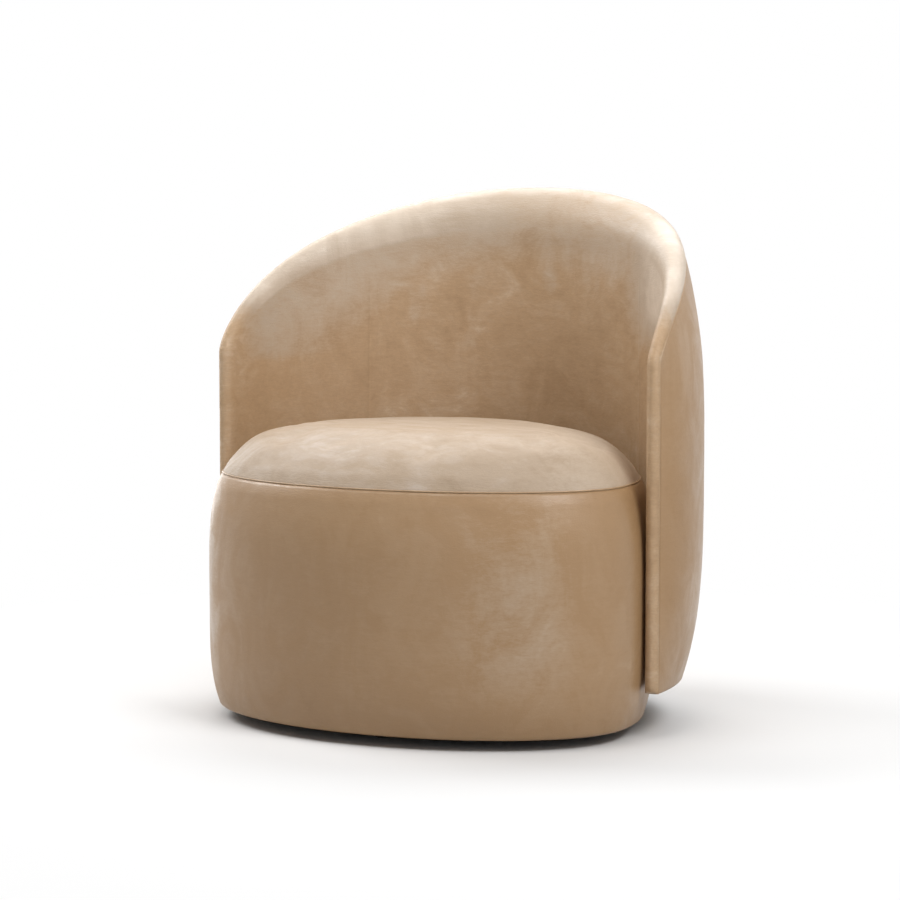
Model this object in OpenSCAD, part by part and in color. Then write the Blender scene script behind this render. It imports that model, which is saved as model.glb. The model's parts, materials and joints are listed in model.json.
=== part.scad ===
// Swivel lounge chair: an upholstered seat drum held inside a wrap-around back shell.
// The front faces -Y. Z = 0 is the floor, and the middle of the footprint is the origin.

/* [Seat drum] */
// Distance from the arm line to the front of the drum
drum_front = 261; // [240:1:320]
// How far the drum's widest line lies in front of the arm line
drum_ahead = 33; // [0:1:50]
// Fullness of the front's rounded outline, 2 is an ellipse
front_fullness = 2; // [1.8:0.05:2.8]
// Gap between the drum and the inside of the shell where they are closest
drum_gap = 1.5; // [1:0.25:4]
// Height of the drum's bottom edge above the floor
drum_bottom_z = 17; // [14:1:24]
// Radius of the drum's bottom edge
drum_edge_r = 5; // [3:1:8]
// Width of the leather turned in under the drum
drum_lip = 23; // [12:1:30]
// Height of the seam round the seat
seat_seam_z = 383; // [365:2:421]
// Rise of the seat's crown above its seam
seat_crown = 70; // [40:2:90]
// Distance from the seam over which the crown rises
crown_reach = 115; // [80:5:150]
// Extra rise of the crown at the middle of the seat
seat_dome = 4; // [0:1:15]
// Height at which the drum is widest
drum_bulge_z = 213; // [150:5:260]
// How far the side draws in at the seat's seam
seam_draw = 22; // [8:1:30]
// How far the side draws in at the bottom edge
bottom_draw = 17; // [6:1:22]

/* [Back shell] */
// Distance between the outer seams of the two arm fronts
shell_width = 762; // [700:4:820]
// Distance from the arm line to the outer seam at the back
shell_reach = 427; // [380:2:470]
// Thickness of an arm at its front
arm_t = 22; // [22:1:30]
// Thickness of the back at its middle
back_t = 105; // [95:5:130]
// Height of the shell's lower edge above the floor
shell_bottom_z = 70; // [50:5:120]
// Height of the seam where the arm front starts to curve back
arm_top_z = 563; // [540:5:610]
// Height of the seam at the middle of the back
back_top_z = 809; // [740:5:860]
// Roundness of the top line along its length
top_run = 1.05; // [0.9:0.05:1.4]
// Roundness of the top line at the arm
top_lift = 1.45; // [1.3:0.05:1.8]
// Rise of the arm's front roll past its seam
arm_roll = 11; // [8:1:16]
// Rise of the back's top roll past its seam
back_roll = 14; // [8:1:24]
// Depth of the soft shoulder behind an arm's front roll
arm_shoulder = 9; // [6:1:16]
// Depth of the soft shoulder inside the back's top roll
back_shoulder = 60; // [30:5:80]
// How far the outer back panel bulges past its seam
back_puff = 31; // [26:1:40]

/* [Upholstery] */
// Thickness of the leather with its backing
cover_t = 1.8; // [1.2:0.1:2.2]
// Play between a soft layer and what it lies on
soft_gap = 0.3; // [0.2:0.05:0.4]
// Radius of the raised seam cord
welt_r = 1.6; // [1:0.1:2.4]
// How far the seam cord stands out of the leather
welt_proud = 1; // [0.4:0.1:1.5]
// Thickness of the padding on the outside of the shell
outer_pad_t = 3; // [2:0.5:4]
// Thickness of the foam on the inside of an arm
arm_foam_t = 5.5; // [4:0.5:6]
// Thickness of the foam at the middle of the back
back_foam_t = 48; // [30:2:54]
// Thickness of the foam over an arm's front roll
front_foam_t = 4; // [3:0.5:5]
// Thickness of the foam over the back's top roll
top_foam_t = 14; // [8:1:15]
// Width of the leather turned in under the shell
shell_lip = 7; // [4:1:10]

/* [Frame] */
// Thickness of the plywood boards and ribs
ply_t = 18; // [16:1:20]
// Thickness of the moulded shell board
shell_board_t = 8; // [6:0.5:8.5]
// Thickness of the bent board round the drum
wrap_t = 5; // [3:0.5:8]
// Thickness of the drum's padding where it is thinnest
side_pad_t = 4; // [3:0.5:8]
// Width of the seat rail and of the skirt ring
rail_w = 44; // [36:2:56]
// Height of the underside of the seat rail
seat_rail_z = 318; // [300:2:326]
// Height of the underside of the shell's upper rib
upper_rib_z = 500; // [470:5:510]
// Width of the posts in the drum and in the back
post_w = 36; // [24:2:40]
// Depth of the posts in the drum
post_d = 30; // [20:2:40]
// Depth of the posts in the shell
shell_post_d = 14; // [10:1:14]
// Number of posts in the drum
drum_posts_n = 8; // [6:1:10]
// Depth of the shell's top rail
top_rail_d = 14; // [10:1:16]
// Height of the shell's top rail
top_rail_h = 32; // [24:2:40]
// Width of a webbing strap
strap_w = 50; // [40:2:56]

/* [Seat springs] */
// Number of springs
spring_n = 5; // [3:1:5]
// Distance between two springs
spring_pitch = 88; // [76:2:96]
// Diameter of the spring wire
spring_wire = 4; // [3:0.2:4.6]
// Width of a spring's zigzag
spring_w = 50; // [46:2:60]
// Distance between two runs of the zigzag
spring_step = 32; // [26:1:36]
// Height of the wire above the rail
spring_lift = 5; // [4:0.5:7]
// Width of a spring clip
clip_w = 14; // [10:1:18]

/* [Base and swivel] */
// Radius of the base disc
base_r = 205; // [175:5:210]
// Thickness of the floor glides
glide_h = 6; // [4:0.5:8]
// Radius of a floor glide
glide_r = 15; // [10:1:20]
// Number of floor glides
glide_n = 6; // [5:1:8]
// Radius of the swivel plates
plate_r = 150; // [146:2:160]
// Thickness of the swivel plates
plate_t = 2.5; // [2:0.25:4]
// Radius of the ball track
track_r = 116; // [100:2:118]
// Radius of the balls
ball_r = 4; // [3:0.5:5]
// Number of balls
ball_n = 24; // [16:1:36]
// Play between the balls and their track
ball_play = 0.3; // [0.2:0.05:0.4]
// Radius of the swivel's centre pin
pin_r = 8; // [6:0.5:10]
// Radial play of the centre pin
pin_play = 0.08; // [0.05:0.01:0.1]
// Radius of the bolts and screws
bolt_r = 4; // [3:0.5:4.5]
// Play of a bolt or screw in its hole
bolt_play = 0.1; // [0.1:0.05:0.3]

/* [Hidden] */
$fn = 48;

leather = "#b99a76";
foam = "#e6dcb8";
wood = "#c9a26b";
steel = "#8d9096";
black = "#232323";

// Plan of the shell's outer seam, and of the shell's inside
edge_a = shell_width / 2;
edge_b = shell_reach;
inner_a = edge_a - arm_t;
inner_b = edge_b - back_t;

// Plan of the drum at its widest
drum_a = inner_a - drum_gap;
front_b = drum_front - drum_ahead;
rear_b = inner_b - drum_gap + drum_ahead;

// The arm line's place, so that the footprint's middle is the origin
arm_y = -(edge_b + back_puff - drum_front) / 2;
drum_y = arm_y - drum_ahead;
// The swivel's axis runs through the middle of the drum
swivel_y = drum_y + (rear_b - front_b) / 2;

// Layers of the drum, as distances in from its widest outline
skin_in = cover_t + soft_gap;
wrap_in = seam_draw + skin_in + side_pad_t + soft_gap;
frame_in = wrap_in + wrap_t + soft_gap;
rail_inner = frame_in + rail_w;
post_play = 1.5;

// Swivel stack, from the floor up
disc_top_z = glide_h + ply_t;
plate_room = 5;
board_z = disc_top_z + 2 * plate_t + 2 * ball_r + plate_room;
ball_z = (disc_top_z + board_z) / 2;
track_gap = 2;
track_w = 20;
retainer_t = 2;
retainer_w = 16;
plate_rim = 12;
pin_head_r = pin_r + 6;
pin_head_t = 3;
pin_foot_t = 4;
screw_head_r = 7;
screw_head_h = 3;
screw_head_slope = 1.5;
nut_r = 1.9 * bolt_r;
nut_h = 1.6 * bolt_r;
bolt_end = 2 * bolt_r;
screw_tip_z = glide_h + 4;
stem_r = 3;
stem_h = 10;
glide_edge = 5;
glide_chamfer = 1;
disc_chamfer = 2;
access_r = pin_head_r + 5;

// Cloths under the drum and under the shell
cloth_t = 1;
cloth_room = 8;

// Heights in the drum
skirt_z = drum_bottom_z + skin_in;
rail_top_z = seat_rail_z + ply_t;
wire_z = rail_top_z + spring_lift + spring_wire / 2;
sleeve_t = 1.5;
deck_t = 1.2;
deck_z = wire_z + spring_wire / 2 + sleeve_t + soft_gap;
deck_in = frame_in + 4;
foam_z = deck_z + deck_t + soft_gap;
pad_top_z = foam_z - soft_gap;
foot_pad_in = skin_in + 2 * soft_gap;

// Layers of the shell, as distances in from its outer leather
board_in = skin_in + outer_pad_t + 2 * soft_gap;
board_play = 1.2;
cavity_in = board_in + shell_board_t + board_play;
strap_t = 1.5;
strap_room = 2.4;
pad_drop = 3;
board_drop_front = 11;
board_drop_back = 4;
top_rail_drop = 8;

// Places round the shell, as angles from the right arm
strap_angles = [66, 90, 114];
post_angles = [54, 78, 102, 126];
stile_angles = [10, 170];
stile_low_z = 180;
bolt_angles = [22, 54, 126, 158];
bottom_rib_z = shell_bottom_z + skin_in + soft_gap;
bottom_rib_from = 46;
seat_rib_from = 7;
upper_rib_from = 9;
top_rail_from = 40;

// Bolts that hold the shell to the drum
bolt_head_r = 6.5;
bolt_head_h = 8;
side_room = 12;
bolt_head_in = drum_gap + side_room + frame_in + rail_w / 2;
insert_r = 6;
insert_len = 15;

// Curves of the moulded shapes, higher ones turn more sharply
seam_curve = 3.6;
foot_curve = 4.6;
crown_curve = 2.7;
puff_curve = 3.3;
puff_side_curve = 15;

// Grids of the moulded shapes
shell_cols = 40;
face_rows = 3;
back_rows = 8;
roll_steps = 5;
drum_cols = 56;
end_crowding = 0.6;
roll_lean = 0.42;
cord_sides = 6;

// Common helpers
function spow(x, e) = sign(x) * pow(abs(x), e);
function unit(v) = v / norm(v);
function mix(a, b, t) = a + (b - a) * t;
function reversed(v) = [for (k = [len(v) - 1:-1:0]) v[k]];

// A point of the drum's outline, drawn in by d, at angle u
function front_at(u) = sin(u) < 0;
function drum_xy(u, d) =
    let (n = front_at(u) ? front_fullness : 2, b = front_at(u) ? front_b : rear_b)
    [(drum_a - d) * spow(cos(u), 2 / n), drum_y + (b - d) * spow(sin(u), 2 / n)];
function drum_normal(u) =
    let (n = front_at(u) ? front_fullness : 2, b = front_at(u) ? front_b : rear_b)
    unit([spow(cos(u), 2 - 2 / n) / drum_a, spow(sin(u), 2 - 2 / n) / b]);
function drum_angle(k) = 360 * k / drum_cols;
function drum_outline(d) = [for (k = [0:drum_cols - 1]) drum_xy(drum_angle(k), d)];

// Draw-in of the drum's side at height z, with its rounded bottom edge
function edge_round(z) =
    let (x = min(1, max(0, (drum_bottom_z + drum_edge_r - z) / drum_edge_r)))
    drum_edge_r * (1 - sqrt(1 - x * x));
function side_draw(z) =
    z > drum_bulge_z
        ? seam_draw * pow((z - drum_bulge_z) / (seat_seam_z - drum_bulge_z), seam_curve)
        : bottom_draw * pow((drum_bulge_z - z) / (drum_bulge_z - drum_bottom_z), foot_curve)
            + edge_round(z);

// Height of the seat's crown, q is 0 at the seam and 1 where it is full
function crown_z(q) = seat_seam_z + seat_crown * (1 - pow(1 - q, crown_curve));

// A profile of [draw-in, height] points moved inwards by t, square to its run
function profile_inset(p, t) = [
    for (k = [0:len(p) - 1])
        let (
            a = p[max(k - 1, 0)],
            b = p[min(k + 1, len(p) - 1)],
            n = unit([b.y - a.y, -(b.x - a.x)])
        )
        p[k] + t * n
];

// Angles of the shell's columns, closer together near the arm fronts
function col_angle(k) =
    let (x = k / shell_cols)
    180 * (x - end_crowding * sin(360 * x) / (2 * PI));
// The same columns, but the first and last lie a distance y behind the arm line
function columns_behind(y) = concat(
    [asin(y / edge_b)],
    [for (k = [1:shell_cols - 1]) col_angle(k)],
    [180 - asin(y / edge_b)]
);

function edge_xy(u) = [edge_a * cos(u), arm_y + edge_b * sin(u)];
function edge_normal(u) = unit([cos(u) / edge_a, sin(u) / edge_b]);
function inner_xy(u) = [inner_a * cos(u), arm_y + inner_b * sin(u)];
// Room between the outer seam's plan and the inner leather, square to the seam
function wall_t(u) = (edge_xy(u) - inner_xy(u)) * edge_normal(u);

// Height of the outer seam
function edge_z(u) =
    arm_top_z
    + (back_top_z - arm_top_z)
        * pow(max(0, 1 - pow(1 - min(1, abs(sin(u))), top_run)), 1 / top_lift);

// Direction of the roll: up at the back, forward at the arm fronts
function roll_dir(u) =
    let (
        lo = max(0, u - 0.5),
        hi = min(180, u + 0.5),
        run = norm(edge_xy(hi) - edge_xy(lo)),
        rise = edge_z(hi) - edge_z(lo),
        l = norm([run, rise]),
        n = edge_normal(u)
    )
    u <= 0 || u >= 180
        ? [0, -1, 0]
        : [n.y * rise / l, -n.x * rise / l, run / l];

// How far the outer panel bulges at angle u and height z
function puff_share(u) = 1 - pow(abs(1 - u / 90), puff_side_curve);
function puff(u, z) =
    let (t = (z - shell_bottom_z) / (edge_z(u) - shell_bottom_z))
    back_puff * puff_share(u) * max(0, 1 - pow(abs(2 * t - 1), puff_curve));
function span_puff(u, low, high) = min(puff(u, low), puff(u, high));

// Sizes that grow from the arm fronts to the middle of the back
function roll_h(u) = mix(arm_roll, back_roll, sin(u));
function shoulder(u) = mix(arm_shoulder, back_shoulder, sin(u));
function foam_depth(u) =
    mix(arm_foam_t, back_foam_t, (wall_t(u) - arm_t) / (back_t - arm_t));
function foam_back(u) = skin_in + foam_depth(u) + soft_gap;
function rib_front(u) = foam_back(u) + strap_t + strap_room;

// The outline of the shell: up the right arm front, along the top, down the left one
outline_n = 2 * face_rows + shell_cols + 1;
function outline_u(k) =
    k < face_rows ? 0 : k > face_rows + shell_cols ? 180 : col_angle(k - face_rows);
function outline_z(k, low) =
    k < face_rows ? mix(low, arm_top_z, k / face_rows)
    : k > face_rows + shell_cols
        ? mix(low, arm_top_z, (outline_n - 1 - k) / face_rows)
        : edge_z(col_angle(k - face_rows));

// Sheets inside the shell, as insets [at the outer seam, at the inner face, at the crown]
function sheet_in(sheet, u) =
    sheet == "leather" ? [0, 0, 0]
    : sheet == "lining" ? [cover_t, cover_t, cover_t]
    : sheet == "foam face" ? [skin_in, skin_in, skin_in]
    : [skin_in + 1, skin_in + foam_depth(u), skin_in + mix(front_foam_t, top_foam_t, sin(u))];
function sheet_low(sheet) =
    sheet == "leather" || sheet == "lining" ? shell_bottom_z : shell_bottom_z + skin_in;

// A point of the roll: a is 0 at the outer seam, 90 at the crown and 180 at the inner face
function roll_start(u) = asin((welt_r + soft_gap) / roll_h(u));
function roll_point(k, a, sheet) =
    let (
        u = outline_u(k),
        n = edge_normal(u),
        d = sheet_in(sheet, u),
        p = edge_xy(u) - d[0] * n,
        q = inner_xy(u) + d[1] * n,
        h = roll_h(u) - d[2],
        f = a <= 90 ? roll_lean * (1 - cos(a)) : roll_lean - (1 - roll_lean) * cos(a),
        g = a <= 90 ? h * sin(a) : h - (h + shoulder(u)) * (1 - sin(a))
    )
    concat(mix(p, q, f), outline_z(k, sheet_low(sheet))) + g * roll_dir(u);

// A point of the inner face, from the lower edge to the start of the roll
function face_point(i, j, sheet) =
    let (
        u = col_angle(i),
        w = 90 + (u - 90) * (90 - asin(arm_shoulder / inner_b)) / 90,
        low = inner_xy(w) + sheet_in(sheet, u)[1] * edge_normal(w),
        top = roll_point(face_rows + i, 180, sheet)
    )
    mix(concat(low, sheet_low(sheet)), top, j / face_rows);

// All points of a sheet: the inner face, then the roll along the outline
function inner_sheet(sheet) = concat(
    [for (i = [0:shell_cols], j = [0:face_rows]) face_point(i, j, sheet)],
    [for (k = [0:outline_n - 1], l = [1:roll_steps])
        roll_point(k, mix(180, roll_start(outline_u(k)), l / roll_steps), sheet)]
);
// Number of the point at place k of the outline and step l of the roll
function inner_at(k, l) =
    l > 0 ? (shell_cols + 1) * (face_rows + 1) + k * roll_steps + l - 1
    : k < face_rows ? k
    : k <= face_rows + shell_cols ? (k - face_rows) * (face_rows + 1) + face_rows
    : shell_cols * (face_rows + 1) + outline_n - 1 - k;
inner_faces = concat(
    grid_faces(shell_cols + 1, face_rows + 1),
    [for (k = [0:outline_n - 2], l = [0:roll_steps - 1])
        let (a = inner_at(k, l), b = inner_at(k, l + 1))
        let (c = inner_at(k + 1, l), d = inner_at(k + 1, l + 1))
        each [[a, c, b], [b, c, d]]]
);
inner_rim = concat(
    [for (i = [0:shell_cols]) i * (face_rows + 1)],
    [for (l = [1:roll_steps]) inner_at(outline_n - 1, l)],
    [for (k = [outline_n - 2:-1:0]) inner_at(k, roll_steps)],
    [for (l = [roll_steps - 1:-1:1]) inner_at(0, l)]
);

// Faces of a grid of points in rows of m, two triangles to a cell
function grid_faces(rows, m) = [
    for (i = [0:rows - 2], j = [0:m - 2])
        let (a = i * m + j, b = a + 1, c = a + m, d = c + 1)
        each [[a, c, b], [b, c, d]]
];
function flipped(faces) = [for (f = faces) reversed(f)];
function shifted(faces, n) = [for (f = faces) [for (v = f) v + n]];

// A closed solid between two sheets that share their faces. The rim runs the way of the faces.
module slab(front, back, faces, rim) {
    n = len(front);
    m = len(rim);
    polyhedron(
        concat(front, back),
        concat(
            faces,
            flipped(shifted(faces, n)),
            [for (k = [0:m - 1])
                let (a = rim[k], b = rim[(k + 1) % m])
                each [[b, a, a + n], [b, a + n, b + n]]]
        )
    );
}

// Sides of rings that run anticlockwise, each from its outer point over the top
function ring_sides(count, rings, m) = [
    for (i = [0:count - 1], j = [0:m - 1])
        let (a = i * m + j, b = i * m + (j + 1) % m)
        let (c = ((i + 1) % rings) * m + j, d = ((i + 1) % rings) * m + (j + 1) % m)
        each [[a, b, c], [b, d, c]]
];
module closed_ring(rings) {
    n = len(rings);
    polyhedron([for (r = rings) each r], ring_sides(n, n, len(rings[0])));
}
module open_bar(rings) {
    n = len(rings);
    m = len(rings[0]);
    last = (n - 1) * m;
    polyhedron(
        [for (r = rings) each r],
        concat(
            ring_sides(n - 1, n, m),
            [for (j = [1:m - 2]) [0, j + 1, j]],
            [for (j = [1:m - 2]) [last, last + j, last + j + 1]]
        )
    );
}

// Places of the glides, and of the screws and bolts of the swivel plates
module at_glides() {
    for (k = [0:glide_n - 1])
        rotate(360 * (k + 0.5) / glide_n)
        translate([base_r - glide_r - glide_edge, 0, 0])
        children();
}
module at_screws(turn) {
    for (k = [0:3])
        rotate(90 * k + turn)
        translate([plate_r - plate_rim, 0, 0])
        children();
}
module at_balls() {
    for (k = [0:ball_n - 1])
        rotate(360 * k / ball_n)
        translate([track_r, 0, 0])
        children();
}

// Round nylon feet, each with a stem in the base disc
module floor_glides() {
    color(black)
    translate([0, swivel_y, 0])
    at_glides() {
        cylinder(r1 = glide_r - glide_chamfer, r2 = glide_r, h = glide_chamfer);
        translate([0, 0, glide_chamfer]) cylinder(r = glide_r, h = glide_h - glide_chamfer);
        cylinder(r = stem_r, h = glide_h + stem_h);
    }
}

// The base disc, with an access hole at its middle
module base_disc() {
    color(black)
    translate([0, swivel_y, 0])
    difference() {
        union() {
            translate([0, 0, glide_h])
                cylinder(r1 = base_r - disc_chamfer, r2 = base_r, h = disc_chamfer, $fn = 96);
            translate([0, 0, glide_h + disc_chamfer])
                cylinder(r = base_r, h = ply_t - disc_chamfer, $fn = 96);
        }
        translate([0, 0, glide_h - 1]) cylinder(r = access_r, h = ply_t + 2);
        at_screws(0) translate([0, 0, screw_tip_z]) cylinder(r = bolt_r + bolt_play, h = ply_t);
        at_glides() translate([0, 0, glide_h - 1])
            cylinder(r = stem_r + bolt_play, h = stem_h + 1 + bolt_play);
    }
}

// Section of a swivel plate with its ball track, drawn as the lower one
module plate_section(bore) {
    difference() {
        union() {
            translate([bore, 0]) square([plate_r - bore, plate_t]);
            translate([track_r - track_w / 2, 0])
                square([track_w, ball_z - track_gap - disc_top_z]);
        }
        translate([track_r, ball_z - disc_top_z]) circle(r = ball_r + ball_play);
    }
}
module swivel_lower_plate() {
    color(steel)
    translate([0, swivel_y, disc_top_z])
    difference() {
        rotate_extrude($fn = 96) plate_section(pin_r + bolt_play);
        at_screws(0) translate([0, 0, -1]) cylinder(r = bolt_r + bolt_play, h = plate_t + 2);
    }
}
module swivel_upper_plate() {
    color(steel)
    translate([0, swivel_y, board_z])
    difference() {
        mirror([0, 0, 1]) rotate_extrude($fn = 96) plate_section(pin_r + pin_play);
        at_screws(45) translate([0, 0, -plate_t - 1])
            cylinder(r = bolt_r + bolt_play, h = plate_t + 2);
    }
}
module lower_plate_screws() {
    color(steel)
    translate([0, swivel_y, 0])
    at_screws(0) {
        translate([0, 0, disc_top_z + plate_t])
            cylinder(r1 = screw_head_r, r2 = screw_head_r - screw_head_slope, h = screw_head_h);
        translate([0, 0, screw_tip_z + bolt_play])
            cylinder(r = bolt_r, h = disc_top_z + plate_t - screw_tip_z);
    }
}

// The pin keeps the plates together: a foot under the lower, a head over the upper
module swivel_pin() {
    color(steel)
    translate([0, swivel_y, 0]) {
        translate([0, 0, disc_top_z - pin_foot_t]) cylinder(r = pin_head_r, h = pin_foot_t);
        translate([0, 0, disc_top_z - 1])
            cylinder(r = pin_r, h = board_z + ball_play - disc_top_z + 2);
        translate([0, 0, board_z + ball_play]) cylinder(r = pin_head_r, h = pin_head_t);
    }
}
module ball_retainer() {
    color(steel)
    translate([0, swivel_y, ball_z - retainer_t / 2])
    difference() {
        cylinder(r = track_r + retainer_w / 2, h = retainer_t, $fn = 96);
        translate([0, 0, -1]) cylinder(r = track_r - retainer_w / 2, h = retainer_t + 2, $fn = 96);
        at_balls() translate([0, 0, -1]) cylinder(r = ball_r + ball_play, h = retainer_t + 2);
    }
}
module swivel_balls() {
    color("silver")
    translate([0, swivel_y, ball_z])
    at_balls() sphere(r = ball_r);
}
module upper_plate_bolts() {
    color(steel)
    translate([0, swivel_y, board_z - plate_t])
    at_screws(45) {
        translate([0, 0, -screw_head_h]) cylinder(r = screw_head_r, h = screw_head_h);
        translate([0, 0, -1]) cylinder(r = bolt_r, h = plate_t + ply_t + bolt_end + 1);
    }
}
module upper_plate_nuts() {
    color(steel)
    translate([0, swivel_y, board_z + ply_t])
    at_screws(45)
    difference() {
        cylinder(r = nut_r, h = nut_h, $fn = 6);
        translate([0, 0, -1]) cylinder(r = bolt_r + bolt_play, h = nut_h + 2);
    }
}

// A flat board or ring in the drum's plan
module drum_plate(inset) {
    polygon(drum_outline(inset));
}
module drum_ring(inset, w) {
    difference() {
        drum_plate(inset);
        drum_plate(inset + w);
    }
}
module skirt_ring() {
    color(wood)
    translate([0, 0, skirt_z]) linear_extrude(board_z - skirt_z) drum_ring(frame_in, rail_w);
}
module bottom_board() {
    color(wood)
    difference() {
        translate([0, 0, board_z]) linear_extrude(ply_t) drum_plate(frame_in);
        translate([0, swivel_y, board_z - 1]) {
            cylinder(r = access_r, h = ply_t + 2);
            at_screws(45) cylinder(r = bolt_r + bolt_play, h = ply_t + 2);
        }
    }
}

// Posts between the bottom board and the seat rail, just inside the bent board
module drum_posts() {
    color(wood)
    for (k = [0:drum_posts_n - 1]) {
        u = 360 * (k + 0.5) / drum_posts_n;
        n = drum_normal(u);
        p = drum_xy(u, frame_in + post_play);
        translate([p.x, p.y, board_z + ply_t])
            rotate(atan2(n.y, n.x))
            translate([-post_d, -post_w / 2, 0])
            cube([post_d, post_w, seat_rail_z - board_z - ply_t]);
    }
}

// The line of a bolt that holds the shell to the drum, its z points outwards
module at_shell_bolt(u) {
    p = inner_xy(u);
    n = unit([cos(u) / inner_a, sin(u) / inner_b]);
    translate([p.x, p.y, seat_rail_z + ply_t / 2])
        rotate(atan2(n.y, n.x))
        rotate([0, 90, 0])
        children();
}
module seat_rail() {
    color(wood)
    difference() {
        translate([0, 0, seat_rail_z]) linear_extrude(ply_t) drum_ring(frame_in, rail_w);
        for (u = bolt_angles) at_shell_bolt(u) {
            translate([0, 0, -bolt_head_in - 1])
                cylinder(r = bolt_r + bolt_play, h = bolt_head_in + 1);
            translate([0, 0, -bolt_head_in - rail_w])
                cylinder(r = bolt_head_r + 1, h = rail_w);
        }
    }
}
module drum_wrap_board() {
    color(wood)
    difference() {
        translate([0, 0, skirt_z]) linear_extrude(rail_top_z - skirt_z)
            drum_ring(wrap_in, wrap_t);
        for (u = bolt_angles) at_shell_bolt(u) translate([0, 0, -bolt_head_in])
            cylinder(r = bolt_r + bolt_play, h = bolt_head_in);
    }
}

// Ends of the opening in the seat rail at a spring's x
function rail_end(x, b, n) =
    (b - rail_inner) * pow(1 - pow(abs(x) / (drum_a - rail_inner), n), 1 / n);
function rail_front(x) = drum_y - rail_end(x, front_b, front_fullness);
function rail_rear(x) = drum_y + rail_end(x, rear_b, 2);

// Each spring has whole zigzags and ends on the rail, past both ends of the opening
clip_foot = 22;
function spring_x(k) = (k - (spring_n - 1) / 2) * spring_pitch;
function spring_runs(x) = ceil((rail_rear(x) - rail_front(x) + clip_foot) / spring_step);
function spring_start(x) = (rail_rear(x) + rail_front(x) - spring_runs(x) * spring_step) / 2;
function spring_end(x) = spring_start(x) + spring_runs(x) * spring_step;

// Zigzag springs: straight runs joined by half rings
module spring(x) {
    runs = spring_runs(x);
    straight = spring_w - spring_step;
    translate([x, spring_start(x), wire_z]) {
        for (j = [0:runs])
            translate([-straight / 2, j * spring_step, 0])
            rotate([0, 90, 0])
            cylinder(d = spring_wire, h = straight);
        for (j = [0:runs - 1])
            translate([(j % 2 == 0 ? 1 : -1) * straight / 2, (j + 0.5) * spring_step, 0])
            rotate(j % 2 == 0 ? -90 : 90)
            rotate_extrude(angle = 180)
            translate([spring_step / 2, 0])
            circle(d = spring_wire);
    }
}
module seat_springs() {
    color(steel)
    for (k = [0:spring_n - 1]) spring(spring_x(k));
}

// A clip is a foot on the rail with a sleeve round the wire
module spring_clip() {
    sleeve_r = spring_wire / 2 + sleeve_t;
    color(steel)
    difference() {
        union() {
            translate([-clip_w / 2, -clip_foot / 2, rail_top_z]) cube([clip_w, clip_foot, sleeve_t]);
            translate([-clip_w / 2, -sleeve_r, rail_top_z])
                cube([clip_w, 2 * sleeve_r, wire_z - rail_top_z]);
            translate([-clip_w / 2, 0, wire_z]) rotate([0, 90, 0])
                cylinder(r = sleeve_r, h = clip_w);
        }
        translate([-clip_w, 0, wire_z]) rotate([0, 90, 0])
            cylinder(r = spring_wire / 2 + bolt_play, h = 2 * clip_w);
    }
}
module spring_clips() {
    for (k = [0:spring_n - 1]) {
        x = spring_x(k);
        for (y = [spring_start(x), spring_end(x)]) translate([x, y, 0]) spring_clip();
    }
}

// Cloth over the springs, turned down onto the rail
module deck_cloth() {
    color(black)
    union() {
        translate([0, 0, deck_z]) linear_extrude(deck_t) drum_plate(deck_in);
        translate([0, 0, rail_top_z]) linear_extrude(deck_z - rail_top_z + deck_t)
            drum_ring(deck_in, deck_t);
    }
}

// Black cloths under the drum and under the shell
module dust_cover() {
    cloth_us = columns_behind(shell_lip);
    color(black) {
        difference() {
            translate([0, 0, skirt_z - cloth_t]) linear_extrude(cloth_t)
                drum_plate(bottom_draw + drum_lip + soft_gap);
            translate([0, swivel_y, 0]) cylinder(r = base_r + cloth_room, h = skirt_z + 1, $fn = 96);
        }
        translate([0, 0, shell_bottom_z + soft_gap])
            linear_extrude(cloth_t)
            polygon(concat(
                [for (u = cloth_us) edge_xy(u) - (shell_lip + soft_gap) * edge_normal(u)],
                reversed([for (u = cloth_us) inner_xy(u) + skin_in * edge_normal(u)])
            ));
    }
}

// Rings of the drum's plan at the points of a [draw-in, height] profile
function drum_rings(p) = [
    for (k = [0:drum_cols - 1])
        [for (q = p) concat(drum_xy(drum_angle(k), q.x), q.y)]
];

// Heights at which the drum's side is drawn, and its profile from the lip under it to the seam
side_top_z = seat_seam_z - welt_r - soft_gap;
foot_zs = [for (t = [0, 0.24, 1]) drum_bottom_z + drum_edge_r * t];
side_zs = concat(
    [for (t = [0.3, 0.7]) mix(drum_bottom_z, drum_bulge_z, t)],
    [for (t = [0.25, 0.7, 1]) mix(drum_bulge_z, pad_top_z, t)]
);
rim_zs = [for (t = [0.55, 1]) mix(pad_top_z, side_top_z, t)];
side_profile = concat(
    [[bottom_draw + drum_lip, drum_bottom_z]],
    [for (z = concat(foot_zs, side_zs, rim_zs)) [side_draw(z), z]]
);
module drum_side_cover() {
    color(leather)
    closed_ring(drum_rings(concat(side_profile, reversed(profile_inset(side_profile, cover_t)))));
}

// Padding between the bent board and the leather, thickest at the bulge
module drum_side_padding() {
    foot_z = drum_bottom_z + drum_edge_r;
    color(foam)
    closed_ring(drum_rings(concat(
        [[side_draw(skirt_z) + 2 * skin_in, skirt_z], [side_draw(foot_z) + foot_pad_in, foot_z]],
        [for (z = side_zs) [side_draw(z) + skin_in, z]],
        [[wrap_in - soft_gap, pad_top_z], [wrap_in - soft_gap, skirt_z]]
    )));
}

// The seat's crown, from just above the seam to the middle
crown_profile = [
    for (q = [0.012, 0.05, 0.12, 0.24, 0.42, 0.68, 1])
        [seam_draw + crown_reach * q, crown_z(q)]
];

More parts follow.
